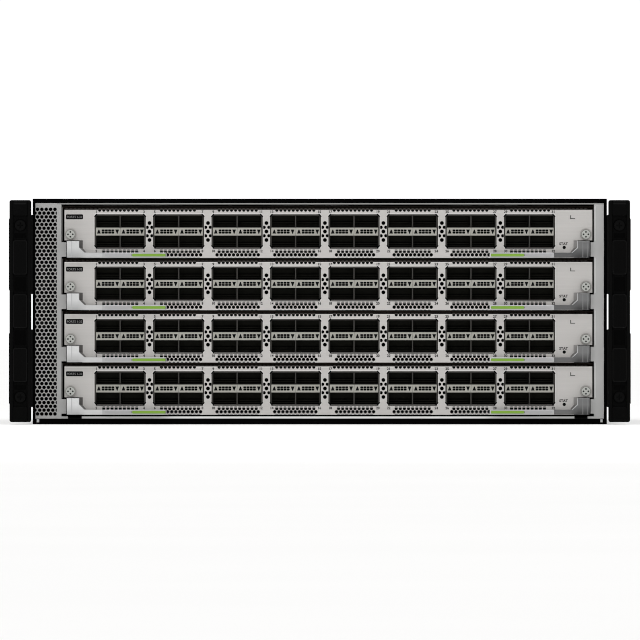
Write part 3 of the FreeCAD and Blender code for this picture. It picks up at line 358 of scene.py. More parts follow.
for name in NODES:
    if name.endswith("faceplate"):
        dress(name, "faceplate")
    elif name == "card_cage":
        dress(name, "cage_shade")
    elif name.endswith("tray"):
        dress(name, "tray")
    elif name.endswith("_board"):
        dress(name, "board")
    elif name.endswith("port_cages"):
        dress(name, "port_cage_shade")
    elif name.endswith("light_bars"):
        dress(name, "bar")
    elif "_screw_" in name:
        dress(name, "screw")
    elif "_lever_" in name:
        dress(name, "grip")
    elif name.startswith("ear_bracket"):
        dress(name, "bracket")
    elif name in ("chassis_tub", "top_cover"):
        dress(name, "black")
    elif name.startswith("ear_cover"):
        dress(name, "ear")
    elif name == "front_frame":
        dress(name, "grey")
    elif name == "side_grille":
        dress(name, "grille")
    elif name == "spring_finger_strips":
        dress(name, "copper_shade")
    elif name in ("rack_screws", "side_screws"):
        dress(name, "black_screw")
    elif name == "midplane_sockets":
        dress(name, "socket")
    elif name.startswith("fan_module"):
        dress(name, "fan")
    elif name.startswith("fan_rotor"):
        dress(name, "rotor")
    elif name.startswith("supply"):
        dress(name, "supply")


def soften(node, width, segments=2, angle=40):
    """Rounds a CAD node's hard edges with modifiers; its own mesh stays."""
    o = NODES[node]
    w = o.modifiers.new("weld", "WELD")
    w.merge_threshold = 0.000002
    b = o.modifiers.new("bevel", "BEVEL")
    b.width = width / 1000
    b.segments = segments
    b.limit_method = "ANGLE"
    b.angle_limit = math.radians(angle)
    b.use_clamp_overlap = True
    b.harden_normals = False


for side in ("left", "right"):
    soften("ear_bracket_" + side, 0.4)
    for card in (1, 2, 3, 4):
        soften("card_%d_lever_%s" % (card, side), 0.2)
        soften("card_%d_screw_%s" % (card, side), 0.25, 2, 50)
for number in (1, 2, 3):
    soften("fan_module_%d" % number, 0.3, 2, 50)

# ------------------------------------------------------------------ pieces in mesh code


class Piece:
    """Collects closed shapes, in millimetres, into one mesh."""

    def __init__(self, way="front"):
        self.bm = bmesh.new()
        self.way = way

    def v(self, a, b, c):
        """A corner from an outline's own numbers: across, depth, up. A top outline lies in x and y, a side one in y and z."""
        if self.way == "top":
            a, b, c = a, c, b
        elif self.way == "side":
            a, b, c = b, a, c
        return self.bm.verts.new((a / 1000, b / 1000, c / 1000))

    def box(self, x0, x1, y0, y1, z0, z1):
        v = [self.bm.verts.new((x / 1000, y / 1000, z / 1000)) for x in (x0, x1) for y in (y0, y1) for z in (z0, z1)]
        for f in ((0, 1, 3, 2), (4, 6, 7, 5), (0, 4, 5, 1), (2, 3, 7, 6), (0, 2, 6, 4), (1, 5, 7, 3)):
            self.bm.faces.new([v[i] for i in f])
        return self

    def prism(self, points, y0, y1):
        """Points (x, z) extruded between two depths."""
        a = [self.v(x, y0, z) for x, z in points]
        b = [self.v(x, y1, z) for x, z in points]
        self.bm.faces.new(a)
        self.bm.faces.new(list(reversed(b)))
        k = len(points)
        for i in range(k):
            j = (i + 1) % k
            self.bm.faces.new((a[i], b[i], b[j], a[j]))
        return self

    def ring(self, outer, inner, y0, y1, y_in=None):
        """A closed band between two outlines of equal count; y_in is the front of its inner edge."""
        y_in = y0 if y_in is None else y_in
        oa = [self.v(x, y0, z) for x, z in outer]
        ob = [self.v(x, y1, z) for x, z in outer]
        ia = [self.v(x, y_in, z) for x, z in inner]
        ib = [self.v(x, y1, z) for x, z in inner]
        k = len(outer)
        for i in range(k):
            j = (i + 1) % k
            self.bm.faces.new((oa[i], oa[j], ia[j], ia[i]))
            self.bm.faces.new((oa[i], ob[i], ob[j], oa[j]))
            self.bm.faces.new((ia[i], ia[j], ib[j], ib[i]))
            self.bm.faces.new((ob[i], ib[i], ib[j], ob[j]))
        return self

    def capsule(self, xa, za, xb, zb, r, y0, y1):
        """A round-ended stroke from (xa, za) to (xb, zb)."""
        t = math.atan2(zb - za, xb - xa)
        pts = []
        for i in range(7):
            a = t - math.pi / 2 + math.pi * i / 6
            pts.append((xb + r * math.cos(a), zb + r * math.sin(a)))
        for i in range(7):
            a = t + math.pi / 2 + math.pi * i / 6
            pts.append((xa + r * math.cos(a), za + r * math.sin(a)))
        return self.prism(pts, y0, y1)

    def disc(self, x, z, r, y0, y1, n=20, turn=0.0):
        pts = [(x + r * math.cos(turn + 2 * math.pi * i / n), z + r * math.sin(turn + 2 * math.pi * i / n)) for i in range(n)]
        return self.prism(pts, y0, y1)

    def done(self, name, mat, body, slot=None, bevel=0.0, segments=2, replaces=(), smooth=False):
        bmesh.ops.recalc_face_normals(self.bm, faces=self.bm.faces)
        mesh = bpy.data.meshes.new(name)
        self.bm.to_mesh(mesh)
        self.bm.free()
        mesh.materials.append(M[mat])
        o = bpy.data.objects.new(name, mesh)
        scene.collection.objects.link(o)
        if bevel:
            b = o.modifiers.new("bevel", "BEVEL")
            b.width = bevel / 1000
            b.segments = segments
            b.limit_method = "ANGLE"
            b.angle_limit = math.radians(35)
        if smooth:
            for p in mesh.polygons:
                p.use_smooth = True
        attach(o, body)
        if replaces:
            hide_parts(*replaces)
        return o


def rounded(x0, x1, z0, z1, r, n=4):
    """A rectangle with rounded corners."""
    pts = []
    for cx, cz, a0 in ((x1 - r, z0 + r, -90), (x1 - r, z1 - r, 0), (x0 + r, z1 - r, 90), (x0 + r, z0 + r, 180)):
        for i in range(n + 1):
            a = math.radians(a0 + 90 * i / n)
            pts.append((cx + r * math.cos(a), cz + r * math.sin(a)))
    return pts


def oct_points(x, z0, z1, half, cut, grow=0.0):
    h, c = half + grow, cut + grow * 0.4
    a, b = z0 - grow, z1 + grow
    return [(x - h + c, a), (x + h - c, a), (x + h, a + c), (x + h, b - c), (x + h - c, b), (x - h + c, b), (x - h, b - c), (x - h, a + c)]


def lettering(name, items, mat, body, depth_front, depth=0.03, bold=0.0, back=False):
    """Flat lettering on a front plane. items: (text, x, z, size) with the text centred at x and standing on z."""
    bm = bmesh.new()
    for text, x, z, size in items:
        c = bpy.data.curves.new("letters", "FONT")
        c.body = text
        c.align_x = "CENTER"
        c.size = size / 1000
        c.extrude = depth / 2000
        c.offset = bold / 1000
        c.resolution_u = 2
        t = bpy.data.objects.new("letters", c)
        scene.collection.objects.link(t)
        bpy.context.view_layer.update()
        m = t.to_mesh()
        turn = Matrix.Rotation(math.radians(180 if back else 0), 4, "Z") @ Matrix.Rotation(math.radians(90), 4, "X")
        place = Matrix.Translation((x / 1000, (depth_front + depth / 2) / 1000, z / 1000)) @ turn
        m.transform(place)
        bm.from_mesh(m)
        t.to_mesh_clear()
        bpy.data.objects.remove(t)
        bpy.data.curves.remove(c)
    mesh = bpy.data.meshes.new(name)
    bm.to_mesh(mesh)
    bm.free()
    mesh.materials.append(M[mat])
    o = bpy.data.objects.new(name, mesh)
    scene.collection.objects.link(o)
    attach(o, body)
    return o


for card in (1, 2, 3, 4):
    zb = base(card)
    body = "card_%d" % card
    tag = "card_%d_" % card
    # light bars between the port rows, with arrow and lamp marks
    bars, marks, seams = Piece(), Piece(), Piece()
    rims, corners, shades = Piece(), Piece(), Piece()
    edges, lips, ports_mid, ports_dark = Piece(), Piece(), Piece(), Piece()
    for k in range(8):
        x = CAGE0 + CAGE_STEP * k
        bars.box(x - 18.85, x + 18.85, -290.5, -284.0, zb + 17.35, zb + 23.5)
        for s in (-1, 1):
            left = x - 18.85 if s < 0 else x + 0.3
            up = left + 2.35
            marks.prism([(up - 1.5, zb + 18.88), (up + 1.35, zb + 18.88), (up + 0.3, zb + 21.98), (up - 0.3, zb + 21.98)], -290.64, -290.3)
            dn = left + 16.55
            marks.prism([(dn - 1.45, zb + 22.0), (dn - 0.25, zb + 18.75), (dn + 0.25, zb + 18.75), (dn + 1.45, zb + 22.0)], -290.64, -290.3)
            for i in range(4):
                for j in range(2):
                    cx = left + 5.65 + i * 2.505
                    cz = zb + 19.62 + j * 1.68
                    w, h, c = 1.12, 0.76, 0.35
                    marks.prism([(cx - w + c, cz - h), (cx + w - c, cz - h), (cx + w, cz - h + c), (cx + w, cz + h - c), (cx + w - c, cz + h), (cx - w + c, cz + h), (cx - w, cz + h - c), (cx - w, cz - h + c)], -290.64, -290.3)
        seams.prism([(x - 0.30, zb + 17.5), (x - 0.16, zb + 17.5), (x + 0.42, zb + 23.35), (x + 0.28, zb + 23.35)], -290.6, -290.3)
        # the windows' pressed edges with a painted highlight line round them, painted shade under them, and their
        # relieved corners
        lo, hi = zb + 7.7, zb + 33.9
        outer = [(x - 19.2, lo - 0.3), (x + 19.2, lo - 0.3), (x + 20.36, lo + 0.9), (x + 20.36, hi - 0.9),
                 (x + 19.2, hi + 0.8), (x - 19.2, hi + 0.8), (x - 20.36, hi - 0.9), (x - 20.36, lo + 0.9)]
        rims.ring(outer, oct_points(x, lo, hi, 19.9, 1.1, 0.1), -291.06, -290.9)
        shades.box(x - 18.9, x + 18.9, -291.1, -290.9, lo - 0.5, lo + 0.02)
        shades.prism([(x - 18.9, lo - 0.85), (x + 18.9, lo - 0.85), (x + 18.9, lo - 0.45), (x - 18.9, lo - 0.45)], -291.0, -290.95)
        for sx in (-1, 1):
            for cz, sz in ((lo, -1), (hi, 1)):
                e = x + sx * 19.9
                corners.capsule(e - sx * 0.2, cz - sz * 1.75, e - sx * 1.7, cz - sz * 0.1, 0.5, -291.12, -290.8)
        # cage mouths: front edges of the plates in painted shade, the lips in a lighter painted shade
        edges.ring(
            [(x - 19.85, lo + 0.1), (x + 19.85, lo + 0.1), (x + 19.85, hi - 0.1), (x - 19.85, hi - 0.1)],
            [(x - 18.6, lo + 0.5), (x + 18.6, lo + 0.5), (x + 18.6, hi - 1.1), (x - 18.6, hi - 1.1)],
            -290.0, -289.32, -289.6,
        )
        lips.box(x - 18.6, x + 18.6, -290.05, -289.4, hi - 0.65, hi - 0.15)
        lips.box(x - 18.6, x + 18.6, -290.05, -289.4, lo + 0.1, lo + 0.45)
        edges.box(x - 0.45, x + 0.45, -290.2, -289.32, zb + 24.2, hi - 0.5)
        edges.box(x - 0.45, x + 0.45, -290.2, -289.32, lo + 0.5, zb + 17.25)
        for z0 in (zb + 8.2, zb + 24.25):
            for cx in (x - 9.6, x + 9.6):
                w = 8.7
                ports_mid.box(cx - w, cx + w, -276.0, -270.0, z0 + 4.4, z0 + 8.7)
                ports_mid.box(cx - w, cx + w, -281.0, -270.0, z0 + 2.7, z0 + 3.4)
                ports_mid.box(cx - w, cx + w, -281.0, -270.0, z0 + 1.0, z0 + 1.7)
                ports_dark.box(cx - w, cx + w, -269.9, -266.0, z0 + 0.1, z0 + 8.9)
    bars.done(tag + "light_bar_fronts", "bar", body, "light_bar_plastic", bevel=0.25, replaces=(tag + "light_bars",))
    marks.done(tag + "light_bar_marks", "ink", body, "light_bar_plastic")
    seams.done(tag + "light_bar_seams", "ink_soft", body, "light_bar_plastic")
    rims.done(tag + "window_rim_highlights", "window_line_highlight", body, "faceplate_metal")
    # the strips under each window are painted shade
    shades.done(tag + "window_sill_shades", "rim_shade", body, "faceplate_metal")
    lips.done(tag + "cage_lips", "cage_lip_shade", body, "cage_metal")
    # the relieved corners are black strokes: painted shade in place of the relief cuts
    corners.done(tag + "window_corner_shades", "ink", body, "faceplate_metal")
    edges.done(tag + "cage_mouths", "cage_edge_shade", body, "cage_metal")
    ports_mid.done(tag + "port_rails", "port_mid", body, "cage_metal")
    ports_dark.done(tag + "port_backs", "port_dark", body, "cage_metal")
    # port numbers: odd above, even below, at each cage's two sides
    items = []
    for k in range(8):
        x = CAGE0 + CAGE_STEP * k
        for s, extra in ((-1, 0), (1, 2)):
            odd = 4 * k + 1 + extra
            items.append((str(odd), x + s * 18.5, zb + 34.85, 2.8))
            items.append((str(odd + 1), x + s * 18.5, zb + 4.35, 2.7))
    items.append(("STAT", 189.3, zb + 9.95, 2.85))
    lettering(tag + "port_numbers", items, "ink_print", body, -291.12, bold=0.1)
    # corner tick
    tick = Piece()
    tick.box(194.5, 195.15, -291.12, -290.95, zb + 30.2, zb + 33.0)
    tick.box(194.5, 198.3, -291.12, -290.95, zb + 30.2, zb + 30.75)
    tick.done(tag + "corner_tick", "ink_soft", body, "faceplate_metal")
    # label with a plain port range
    label = Piece()
    label.prism(rounded(-197.1, -183.9, zb + 29.95, zb + 33.8, 0.8), -291.12, -290.95)
    label.done(tag + "range_label", "ink", body, "faceplate_metal", bevel=0.04, segments=1)
    lettering(tag + "range_label_print", [("PORTS 1-32", -190.5, zb + 30.98, 2.35)], "ink_white", body, -291.2)
    # status lamp lens
    lamp = Piece()
    lamp.disc(189.8, zb + 8.1, 1.3, -291.1, -290.6, 24)
    lamp.done(tag + "status_lens", "ink", body, "light_bar_plastic", bevel=0.1)
    # captive screws: painted shade in the driver dimples, drawn as dark discs, and a painted shadow ring
    for side, sx in (("left", -1), ("right", 1)):
        rider = "card_%d_screw_%s" % (card, side)
        px, pz = 6.5 + sx * 200.12, zb + 18.25
        dots = Piece()
        for k in range(4):
            a = math.radians(90 * k)
            dots.disc(px + 1.86 * math.cos(a), pz + 1.86 * math.sin(a), 0.7, -295.95, -295.6, 14)
        dots.done(rider + "_dimple_shades", "dimple_shade", rider, "screw_metal")
        # the ring round the head is a painted shadow
        rim = Piece()
        circle = [(math.cos(2 * math.pi * i / 40), math.sin(2 * math.pi * i / 40)) for i in range(40)]
        rim.ring([(px + 3.8 * c, pz + 3.8 * d) for c, d in circle], [(px + 3.4 * c, pz + 3.4 * d) for c, d in circle], -295.88, -295.2)
        rim.done(rider + "_rim", "screw_rim", rider, "screw_metal")
    # levers: green touch marks, and pressed lines in painted shade and painted highlight
    for side, s in (("left", -1), ("right", 1)):
        rider = "card_%d_lever_%s" % (card, side)
        cx = 6.5

        def X(d):
            return cx + s * d

        g = Piece()
        xa, xb = sorted((X(126.2), X(152.2)))
        g.prism(rounded(xa, xb, zb + 1.05, zb + 3.15, 0.9), -299.95, -299.3)
        g.done(rider + "_touch_mark", "green", rider, "lever_metal", bevel=0.15, segments=2)
        # the bent front sheet of the lever: upright, shoulder and bar in one plane
        # the left lever's sheet is painted lit and the right one painted in shade, as painted reflections
        light = side == "left"
        skin = Piece()
        outline = [(202.85, 0.25), (202.85, 12.9), (193.3, 12.9), (193.3, 8.05), (189.15, 4.02), (174.5, 4.02), (174.5, 0.25)]
        pts = [(X(d), zb + h) for d, h in outline]
        skin.prism(pts, -299.25, -298.75)
        skin.done(rider + "_front_sheet", ("lever_light_%d" if light else "lever_dark_%d") % card, rider, "lever_metal", bevel=0.12, segments=2)
        # fold lines: painted shade in the crease of the lit lever, painted highlight lines on the shaded one
        folds = Piece()
        if light:
            for d, w in ((198.7, 0.6),):
                xa, xb = sorted((X(d), X(d + w)))
                folds.box(xa, xb, -299.33, -298.9, zb + 0.4, zb + 12.9)
            folds.done(rider + "_fold_shade_and_highlight", "lever_crease_shade", rider, "lever_metal")
        else:
            for d, w in ((197.4, 0.5), (200.9, 0.35)):
                xa, xb = sorted((X(d), X(d + w)))
                folds.box(xa, xb, -299.33, -298.9, zb + 0.4, zb + 12.9)
            folds.done(rider + "_fold_shade_and_highlight", "lever_ridge_highlight", rider, "lever_metal")
            # a painted highlight line along the shaded lever's edge
            line = Piece()
            w = 0.5
            a = [(193.35, 13.0), (193.35, 8.05), (189.15, 4.02)]
            b = [(193.35 + w, 13.0), (193.35 + w, 7.7), (189.15 + w * 1.25, 4.02)]
            pts = [(X(d), zb + h) for d, h in a] + [(X(d), zb + h) for d, h in reversed(b)]
            line.prism(pts, -299.36, -298.9)
            line.done(rider + "_edge_line", "lever_highlight", rider, "lever_metal")
        # the lever's inner flange, seen through the notch beside the upright, in painted light: shaded on the left
        # lever, lit on the right; its foot is a lighter painted shade
        flange = Piece()
        web = [(190.6, 13.55), (193.9, 13.55), (193.9, 8.2), (190.6, 7.5)]
        flange.prism([(X(d), zb + h) for d, h in web], -291.75, -291.15)
        flange.done(rider + "_flange", "notch_shade_dark" if light else "notch_lit_painted", rider, "lever_metal", bevel=0.1)
        foot = Piece()
        web = [(190.6, 7.5), (193.9, 8.2), (189.9, 4.25), (187.9, 4.25), (188.7, 5.4)]
        foot.prism([(X(d), zb + h) for d, h in web], -291.73, -291.15)
        foot.done(rider + "_flange_foot", "painted_light_mid", rider, "lever_metal", bevel=0.1)
        # grip: a painted highlight on the upper edge, a shallow groove in painted shade and its end seam
        lit = Piece()
        xa, xb = sorted((X(125.9), X(174.2)))
        lit.box(xa, xb, -299.7, -299.45, zb + 3.42, zb + 3.98)
        lit.done(rider + "_grip_edge_highlight", "grip_edge_highlight", rider, "lever_metal", bevel=0.06, segments=1)
        groove = Piece()
        xa, xb = sorted((X(152.6), X(173.4)))
        groove.prism(rounded(xa, xb, zb + 1.3, zb + 3.1, 0.35), -299.68, -299.45)
        groove.done(rider + "_grip_groove_shade", "grip_groove_shade", rider, "lever_metal")
        ends = Piece()
        xa, xb = sorted((X(152.25), X(152.65)))
        ends.box(xa, xb, -299.9, -299.45, zb + 1.35, zb + 2.85)
        ends.done(rider + "_touch_end", "rim_shade", rider, "lever_metal", bevel=0.1)
        # the tip's end face is painted light: a mid shade on the left lever, a highlight on the right
        tip = Piece()
        xa, xb = sorted((X(125.6), X(126.15)))
        tip.box(xa, xb, -299.9, -299.45, zb + 0.75, zb + 3.75)
        tip.done(rider + "_tip_face", "painted_light_mid" if light else "bright_edge_highlight", rider, "lever_metal", bevel=0.1)

    # painted shade round the seats of the captive screws
    halo_ring = Piece()
    circle = [(math.cos(2 * math.pi * i / 40), math.sin(2 * math.pi * i / 40)) for i in range(40)]
    for sx in (-1, 1):
        px, pz = 6.5 + sx * 200.12, zb + 18.25
        halo_ring.ring([(px + 4.7 * c, pz + 4.7 * d) for c, d in circle], [(px + 2.1 * c, pz + 2.1 * d) for c, d in circle], -291.08, -290.95)
    halo_ring.done(tag + "screw_shade_rings", "halo_shade", body, "faceplate_metal")

# spring fingers over each card: a row of rounded tips in painted shade, with lit rims painted where they show over the
# vents
RUNS = [(0, 9), (15, 23), (29, 38), (43, 52), (57, 66), (72, 80), (86, 94), (100, 109)]
VENTS = {i for a, b in RUNS for i in range(a, b + 1)}
for card in (1, 2, 3, 4):
    top = base(card) + 37.3
    tips, lit = Piece(), Piece()
    for i in range(-8, 119):
        x = HOLE0 + HOLE_STEP * i
        arch = [(x - 1.42, top + 0.18), (x + 1.42, top + 0.18), (x + 1.42, top + 0.4)]
        for k in range(7):
            a = math.pi * k / 6
            arch.append((x + 1.42 * math.cos(a), top + 0.4 + 1.15 * math.sin(a)))
        arch.append((x - 1.42, top + 0.4))
        tips.prism(arch, -289.75, -289.5)
        if i in VENTS:
            outer, inner = [], []
            for k in range(9):
                a = math.radians(12 + 156 * k / 8)
                outer.append((x + 1.6 * math.cos(a), top - 0.43 + 1.62 * math.sin(a)))
                inner.append((x + 0.75 * math.cos(a), top - 0.43 + 0.75 * math.sin(a)))
            outer = [(px, max(pz, top + 0.05)) for px, pz in outer]
            inner = [(px, max(pz, top + 0.05)) for px, pz in inner]
            lit.prism(outer + list(reversed(inner)), -289.95, -289.75)
    tips.done("finger_tips_%d" % card, "finger", "chassis", "spring_copper")
    lit.done("finger_rims_%d" % card, "finger_lit", "chassis", "spring_copper")

# ear covers: a moulded strip with rounded ends, rims, three pads and two screw wells
for side, s in (("left", -1), ("right", 1)):
    def E(x):
        return s * x

    step = [(0.0, 1.6), (0.0, 15.6), (0.5, 16.2), (0.5, 70.0), (0.0, 70.8), (0.0, 103.6), (0.5, 104.6), (0.5, 158.8), (0.0, 159.8), (0.0, 173.9)]

    def strip(inner, outer, low, high, r):
        """An outline from the inner edge to the stepped outer edge, with rounded ends."""
        pts = []
        for i in range(5):
            a = math.radians(180 + 22.5 * i)
            pts.append((inner + r + r * math.cos(a), low + r + r * math.sin(a)))
        for i in range(5):
            a = math.radians(270 + 22.5 * i)
            pts.append((outer - r + r * math.cos(a), low + r + r * math.sin(a)))
        for add, z in step[1:-1]:
            if low + r < z < high - r:
                pts.append((outer + add, z))
        for i in range(5):
            a = math.radians(22.5 * i)
            pts.append((outer - r + r * math.cos(a), high - r + r * math.sin(a)))
        for i in range(5):
            a = math.radians(90 + 22.5 * i)
            pts.append((inner + r + r * math.cos(a), high - r + r * math.sin(a)))
        return [(E(x), z) for x, z in pts]

    shell = Piece()
    shell.prism(strip(224.1, 240.8, 1.6, 173.9, 1.5), -297.2, -292.05)
    shell.prism(strip(238.2, 240.8, 2.2, 173.3, 0.9), -299.4, -297.3)
    shell.prism([(E(x), z) for x, z in rounded(224.1, 226.9, 2.2, 173.3, 0.9)], -299.4, -297.3)
    shell.done("ear_cover_shell_" + side, "ear", "chassis", "black_plastic", bevel=0.35, segments=3, replaces=("ear_cover_" + side,))
    pads = Piece()
    for a, b in ((115.9, 142.9), (74.4, 101.0), (32.5, 59.3)):
        xa, xb = sorted((E(226.9), E(238.4)))
        pads.prism(rounded(xa, xb, a, b, 1.8), -299.8, -297.3)
    for a, b in ((161.8, 173.0), (2.2, 13.2)):
        xa, xb = sorted((E(226.9), E(238.4)))
        pads.prism(rounded(xa, xb, a, b, 1.4), -299.9, -297.3)
    pads.done("ear_pads_" + side, "ear_pad", "chassis", "black_plastic", bevel=0.45, segments=3)
    # fine lit edges round the pads
    lines = Piece()
    for a, b in ((115.9, 142.9), (74.4, 101.0), (32.5, 59.3)):
        xa, xb = sorted((E(227.3), E(238.0)))
        outer = rounded(xa, xb, a + 0.4, b - 0.4, 1.6)
        inner = rounded(xa + 0.45, xb - 0.45, a + 0.85, b - 0.85, 1.3)
        lines.ring(outer, inner, -299.88, -299.7)
    xa, xb = sorted((E(227.8), E(237.6)))
    lines.prism(rounded(xa, xb, 170.6, 171.9, 0.5), -299.97, -299.6)
    lines.done("ear_pad_edges_" + side, "ear_line", "chassis", "black_plastic")
    wells = Piece()
    for z in (20.97, 154.32):
        wells.disc(E(232.55), z, 4.9, -297.35, -297.1, 36)
    for a, b in ((103.0, 114.2), (61.2, 72.8), (144.6, 148.4), (26.6, 30.6)):
        xa, xb = sorted((E(228.2), E(237.0)))
        wells.prism(rounded(xa, xb, a, b, 0.8), -297.3, -297.1)
    wells.done("ear_wells_" + side, "ear_deep", "chassis", "black_plastic")

# chassis front: the bright lower rail, the relief notches and corner reliefs
# a painted highlight line along the frame's bend
line = Piece()
walls = Piece()
for card in (1, 2, 3, 4):
    zb = base(card)
    line.box(213.45, 214.3, -292.12, -291.95, zb + 13.4, zb + 40.3)
    walls.box(-200.35, -199.75, -291.6, -290.9, zb + 12.9, zb + 39.9)
line.done("frame_bend_highlight", "bend_highlight", "chassis", "grey_steel")
# a black block at the frame column's upper inner corner: painted shade
corner = Piece()
corner.box(-200.6, -199.8, -292.03, -290.9, 168.3, 170.5)
corner.done("frame_corner_shade", "ink", "chassis", "grey_steel")
# the frame's inner wall is coloured in painted shade
walls.done("frame_inner_wall", "reveal_shade", "chassis", "grey_steel", bevel=0.1)
rail = Piece()
rail.box(-184.7, 197.4, -292.12, -291.9, 4.4, 5.95)
rail.done("lower_rail_face", "bright", "chassis", "grey_steel", bevel=0.05, segments=1)
# the notches' faces are black: painted shade in the relief notches
notches = Piece()
notches.box(-195.6, -184.9, -292.06, -290.9, 4.3, 4.95)
notches.box(197.8, 208.0, -292.06, -290.9, 4.3, 4.95)
notches.done("rail_notch_shades", "ink", "chassis", "grey_steel")
reliefs = Piece()
reliefs.disc(-220.0, 173.35, 0.78, -291.2, -289.0, 18)
reliefs.disc(219.6, 173.2, 0.78, -291.2, -289.0, 18)
reliefs.box(-219.85, -217.95, -291.2, -289.4, 1.35, 3.95)
reliefs.box(217.75, 219.65, -291.2, -289.4, 1.35, 3.95)
reliefs.done("corner_relief_backs", "bright", "chassis", "grey_steel")

# ------------------------------------------------------------------ holes' rims on the front, in painted shade
rims = Piece()
for row in range(55):
    z = 7.92 + 2.942 * row
    for k in range(5 if row % 2 == 0 else 4):
        x = -219.2 + 3.385 * (k + (0.0 if row % 2 == 0 else 0.5))
        circle = [(math.cos(2 * math.pi * i / 14), math.sin(2 * math.pi * i / 14)) for i in range(14)]
        rims.ring([(x + 1.41 * c, z + 1.41 * d) for c, d in circle], [(x + 1.3 * c, z + 1.3 * d) for c, d in circle], -292.02, -291.2)
rims.done("grille_hole_shade_rims", "grille_rim", "chassis", "grey_steel")
for card in (1, 2, 3, 4):
    zb = base(card)
    rims = Piece()
    webs, ends = Piece(), Piece()
    for k in range(7):
        m = CAGE0 + CAGE_STEP * (k + 0.5)
        for dz in (13.87, 20.47, 27.07):
            circle = [(math.cos(2 * math.pi * i / 16), math.sin(2 * math.pi * i / 16)) for i in range(16)]
            rims.ring([(m + 0.1 + 1.52 * c, zb + dz + 1.52 * d) for c, d in circle], [(m + 0.06 + 1.3 * c, zb + dz + 1.3 * d) for c, d in circle], -291.03, -290.3)
        for dz in (17.15, 23.75):
            # the holes beside the middle column reach out to the windows' pressed edges, with a broad web between them;
            # their outer parts are drawn as black crescents of painted shade
            heights = [-1.26 + 2.52 * i / 8 for i in range(9)]
            inner = [1.88 - math.sqrt(1.32 ** 2 - h * h) for h in heights]
            webs.prism([(m + 0.14 + w, zb + dz + h) for w, h in zip(inner, heights)] + [(m + 0.14 - w, zb + dz + h) for w, h in reversed(list(zip(inner, heights)))], -291.04, -290.4)
            heights = [-1.28 + 2.56 * i / 8 for i in range(9)]
            outer = [min(1.88 + math.sqrt(1.32 ** 2 - h * h), 2.62) for h in heights]
            for s in (-1, 1):
                ends.prism([(m + 0.12 + s * w, zb + dz + h) for w, h in zip(outer, heights)] + [(m + 0.12 + s * 2.1, zb + dz + h) for h in reversed(heights)], -291.09, -290.9)
    # grey patches over the upper part of the top-row holes are painted light for the lit cage plate seen through them;
    # the lips under the lowest holes are painted highlights
    lit_patches, lips = Piece(), Piece()
    for a, b in ((1, 9), (15, 24), (29, 38), (43, 52), (58, 66), (72, 80), (86, 94), (100, 108)):
        for i in range(a, b + 1):
            x = HOLE0 + HOLE_STEP * i
            lit_patches.prism([(x + w, zb + h) for w, h in ((-1.08, 5.35), (1.08, 5.35), (1.16, 5.95), (0.8, 6.65), (-0.8, 6.65), (-1.16, 5.95))], -291.05, -290.9)
            turn = [math.pi * (1 + j / 10) for j in range(11)]
            rims.prism([(x + 1.24 * math.cos(t), zb + 4.69 + 1.24 * math.sin(t)) for t in turn] + [(x + 1.12 * math.cos(t), zb + 4.97 + 1.12 * math.sin(t)) for t in reversed(turn)], -291.03, -290.3)
    for a, count in ((16.5, 9), (28.5, 11), (42.5, 11), (57.5, 10), (71.5, 10), (85.5, 10)):
        for i in range(count):
            x, z = HOLE0 + HOLE_STEP * (a + i), zb + 2.48
            rims.ring([(x + 1.33 * c, z - 0.13 + 1.36 * d) for c, d in circle], [(x + 1.2 * c, z + 1.2 * d) for c, d in circle], -291.03, -290.3)
            if card < 4:
                lips.box(x - 0.8, x + 0.8, -291.06, -290.9, zb + 0.02, zb + 0.62)
    lit_patches.done("card_%d_hole_hoods" % card, "painted_light_mid", "card_%d" % card, "faceplate_metal")
    if card < 4:
        lips.done("card_%d_hole_lips" % card, "bright_edge_highlight", "card_%d" % card, "faceplate_metal", bevel=0.05, segments=1)
    rims.done("card_%d_hole_rims" % card, "hex_rim", "card_%d" % card, "faceplate_metal")
    # dark blocks between the cages, coloured in painted shade
    seal = Piece()
    for k in range(7):
        m = CAGE0 + CAGE_STEP * (k + 0.5)
        seal.box(m - 2.7, m + 2.7, -262.0, -259.0, zb + 7.9, zb + 33.6)
    seal.done("card_%d_cage_gap_seals" % card, "recess_shade", "card_%d" % card, "socket_plastic", bevel=0.3)
    webs.done("card_%d_hole_webs" % card, "faceplate", "card_%d" % card, "faceplate_metal")
    ends.done("card_%d_hole_ends" % card, "ink", "card_%d" % card, "faceplate_metal")
    # the plate's upper edge is rounded over; a painted highlight runs along it between the bites
    raise_by = {1: -0.05, 2: 0.1, 3: 0.17, 4: 0.22}[card]
    if raise_by > 0:
        edge = Piece()
        top = zb + 37.3
        spans, start = [], -198.2
        for a, b in RUNS:
            spans.append((start, HOLE0 + HOLE_STEP * a - 1.24))
            spans += [(HOLE0 + HOLE_STEP * i + 1.24, HOLE0 + HOLE_STEP * (i + 1) - 1.24) for i in range(a, b)]
            start = HOLE0 + HOLE_STEP * b + 1.24
        spans.append((start, 211.5))
        for xa, xb in spans:
            edge.box(xa, xb, -291.06, -290.0, top - 0.5, top + raise_by)
        edge.done("card_%d_upper_edge" % card, "bright_edge_highlight", "card_%d" % card, "faceplate_metal")

# ------------------------------------------------------------------ top cover and side walls
CIRCLE = [(math.cos(2 * math.pi * i / 28), math.sin(2 * math.pi * i / 28)) for i in range(28)]


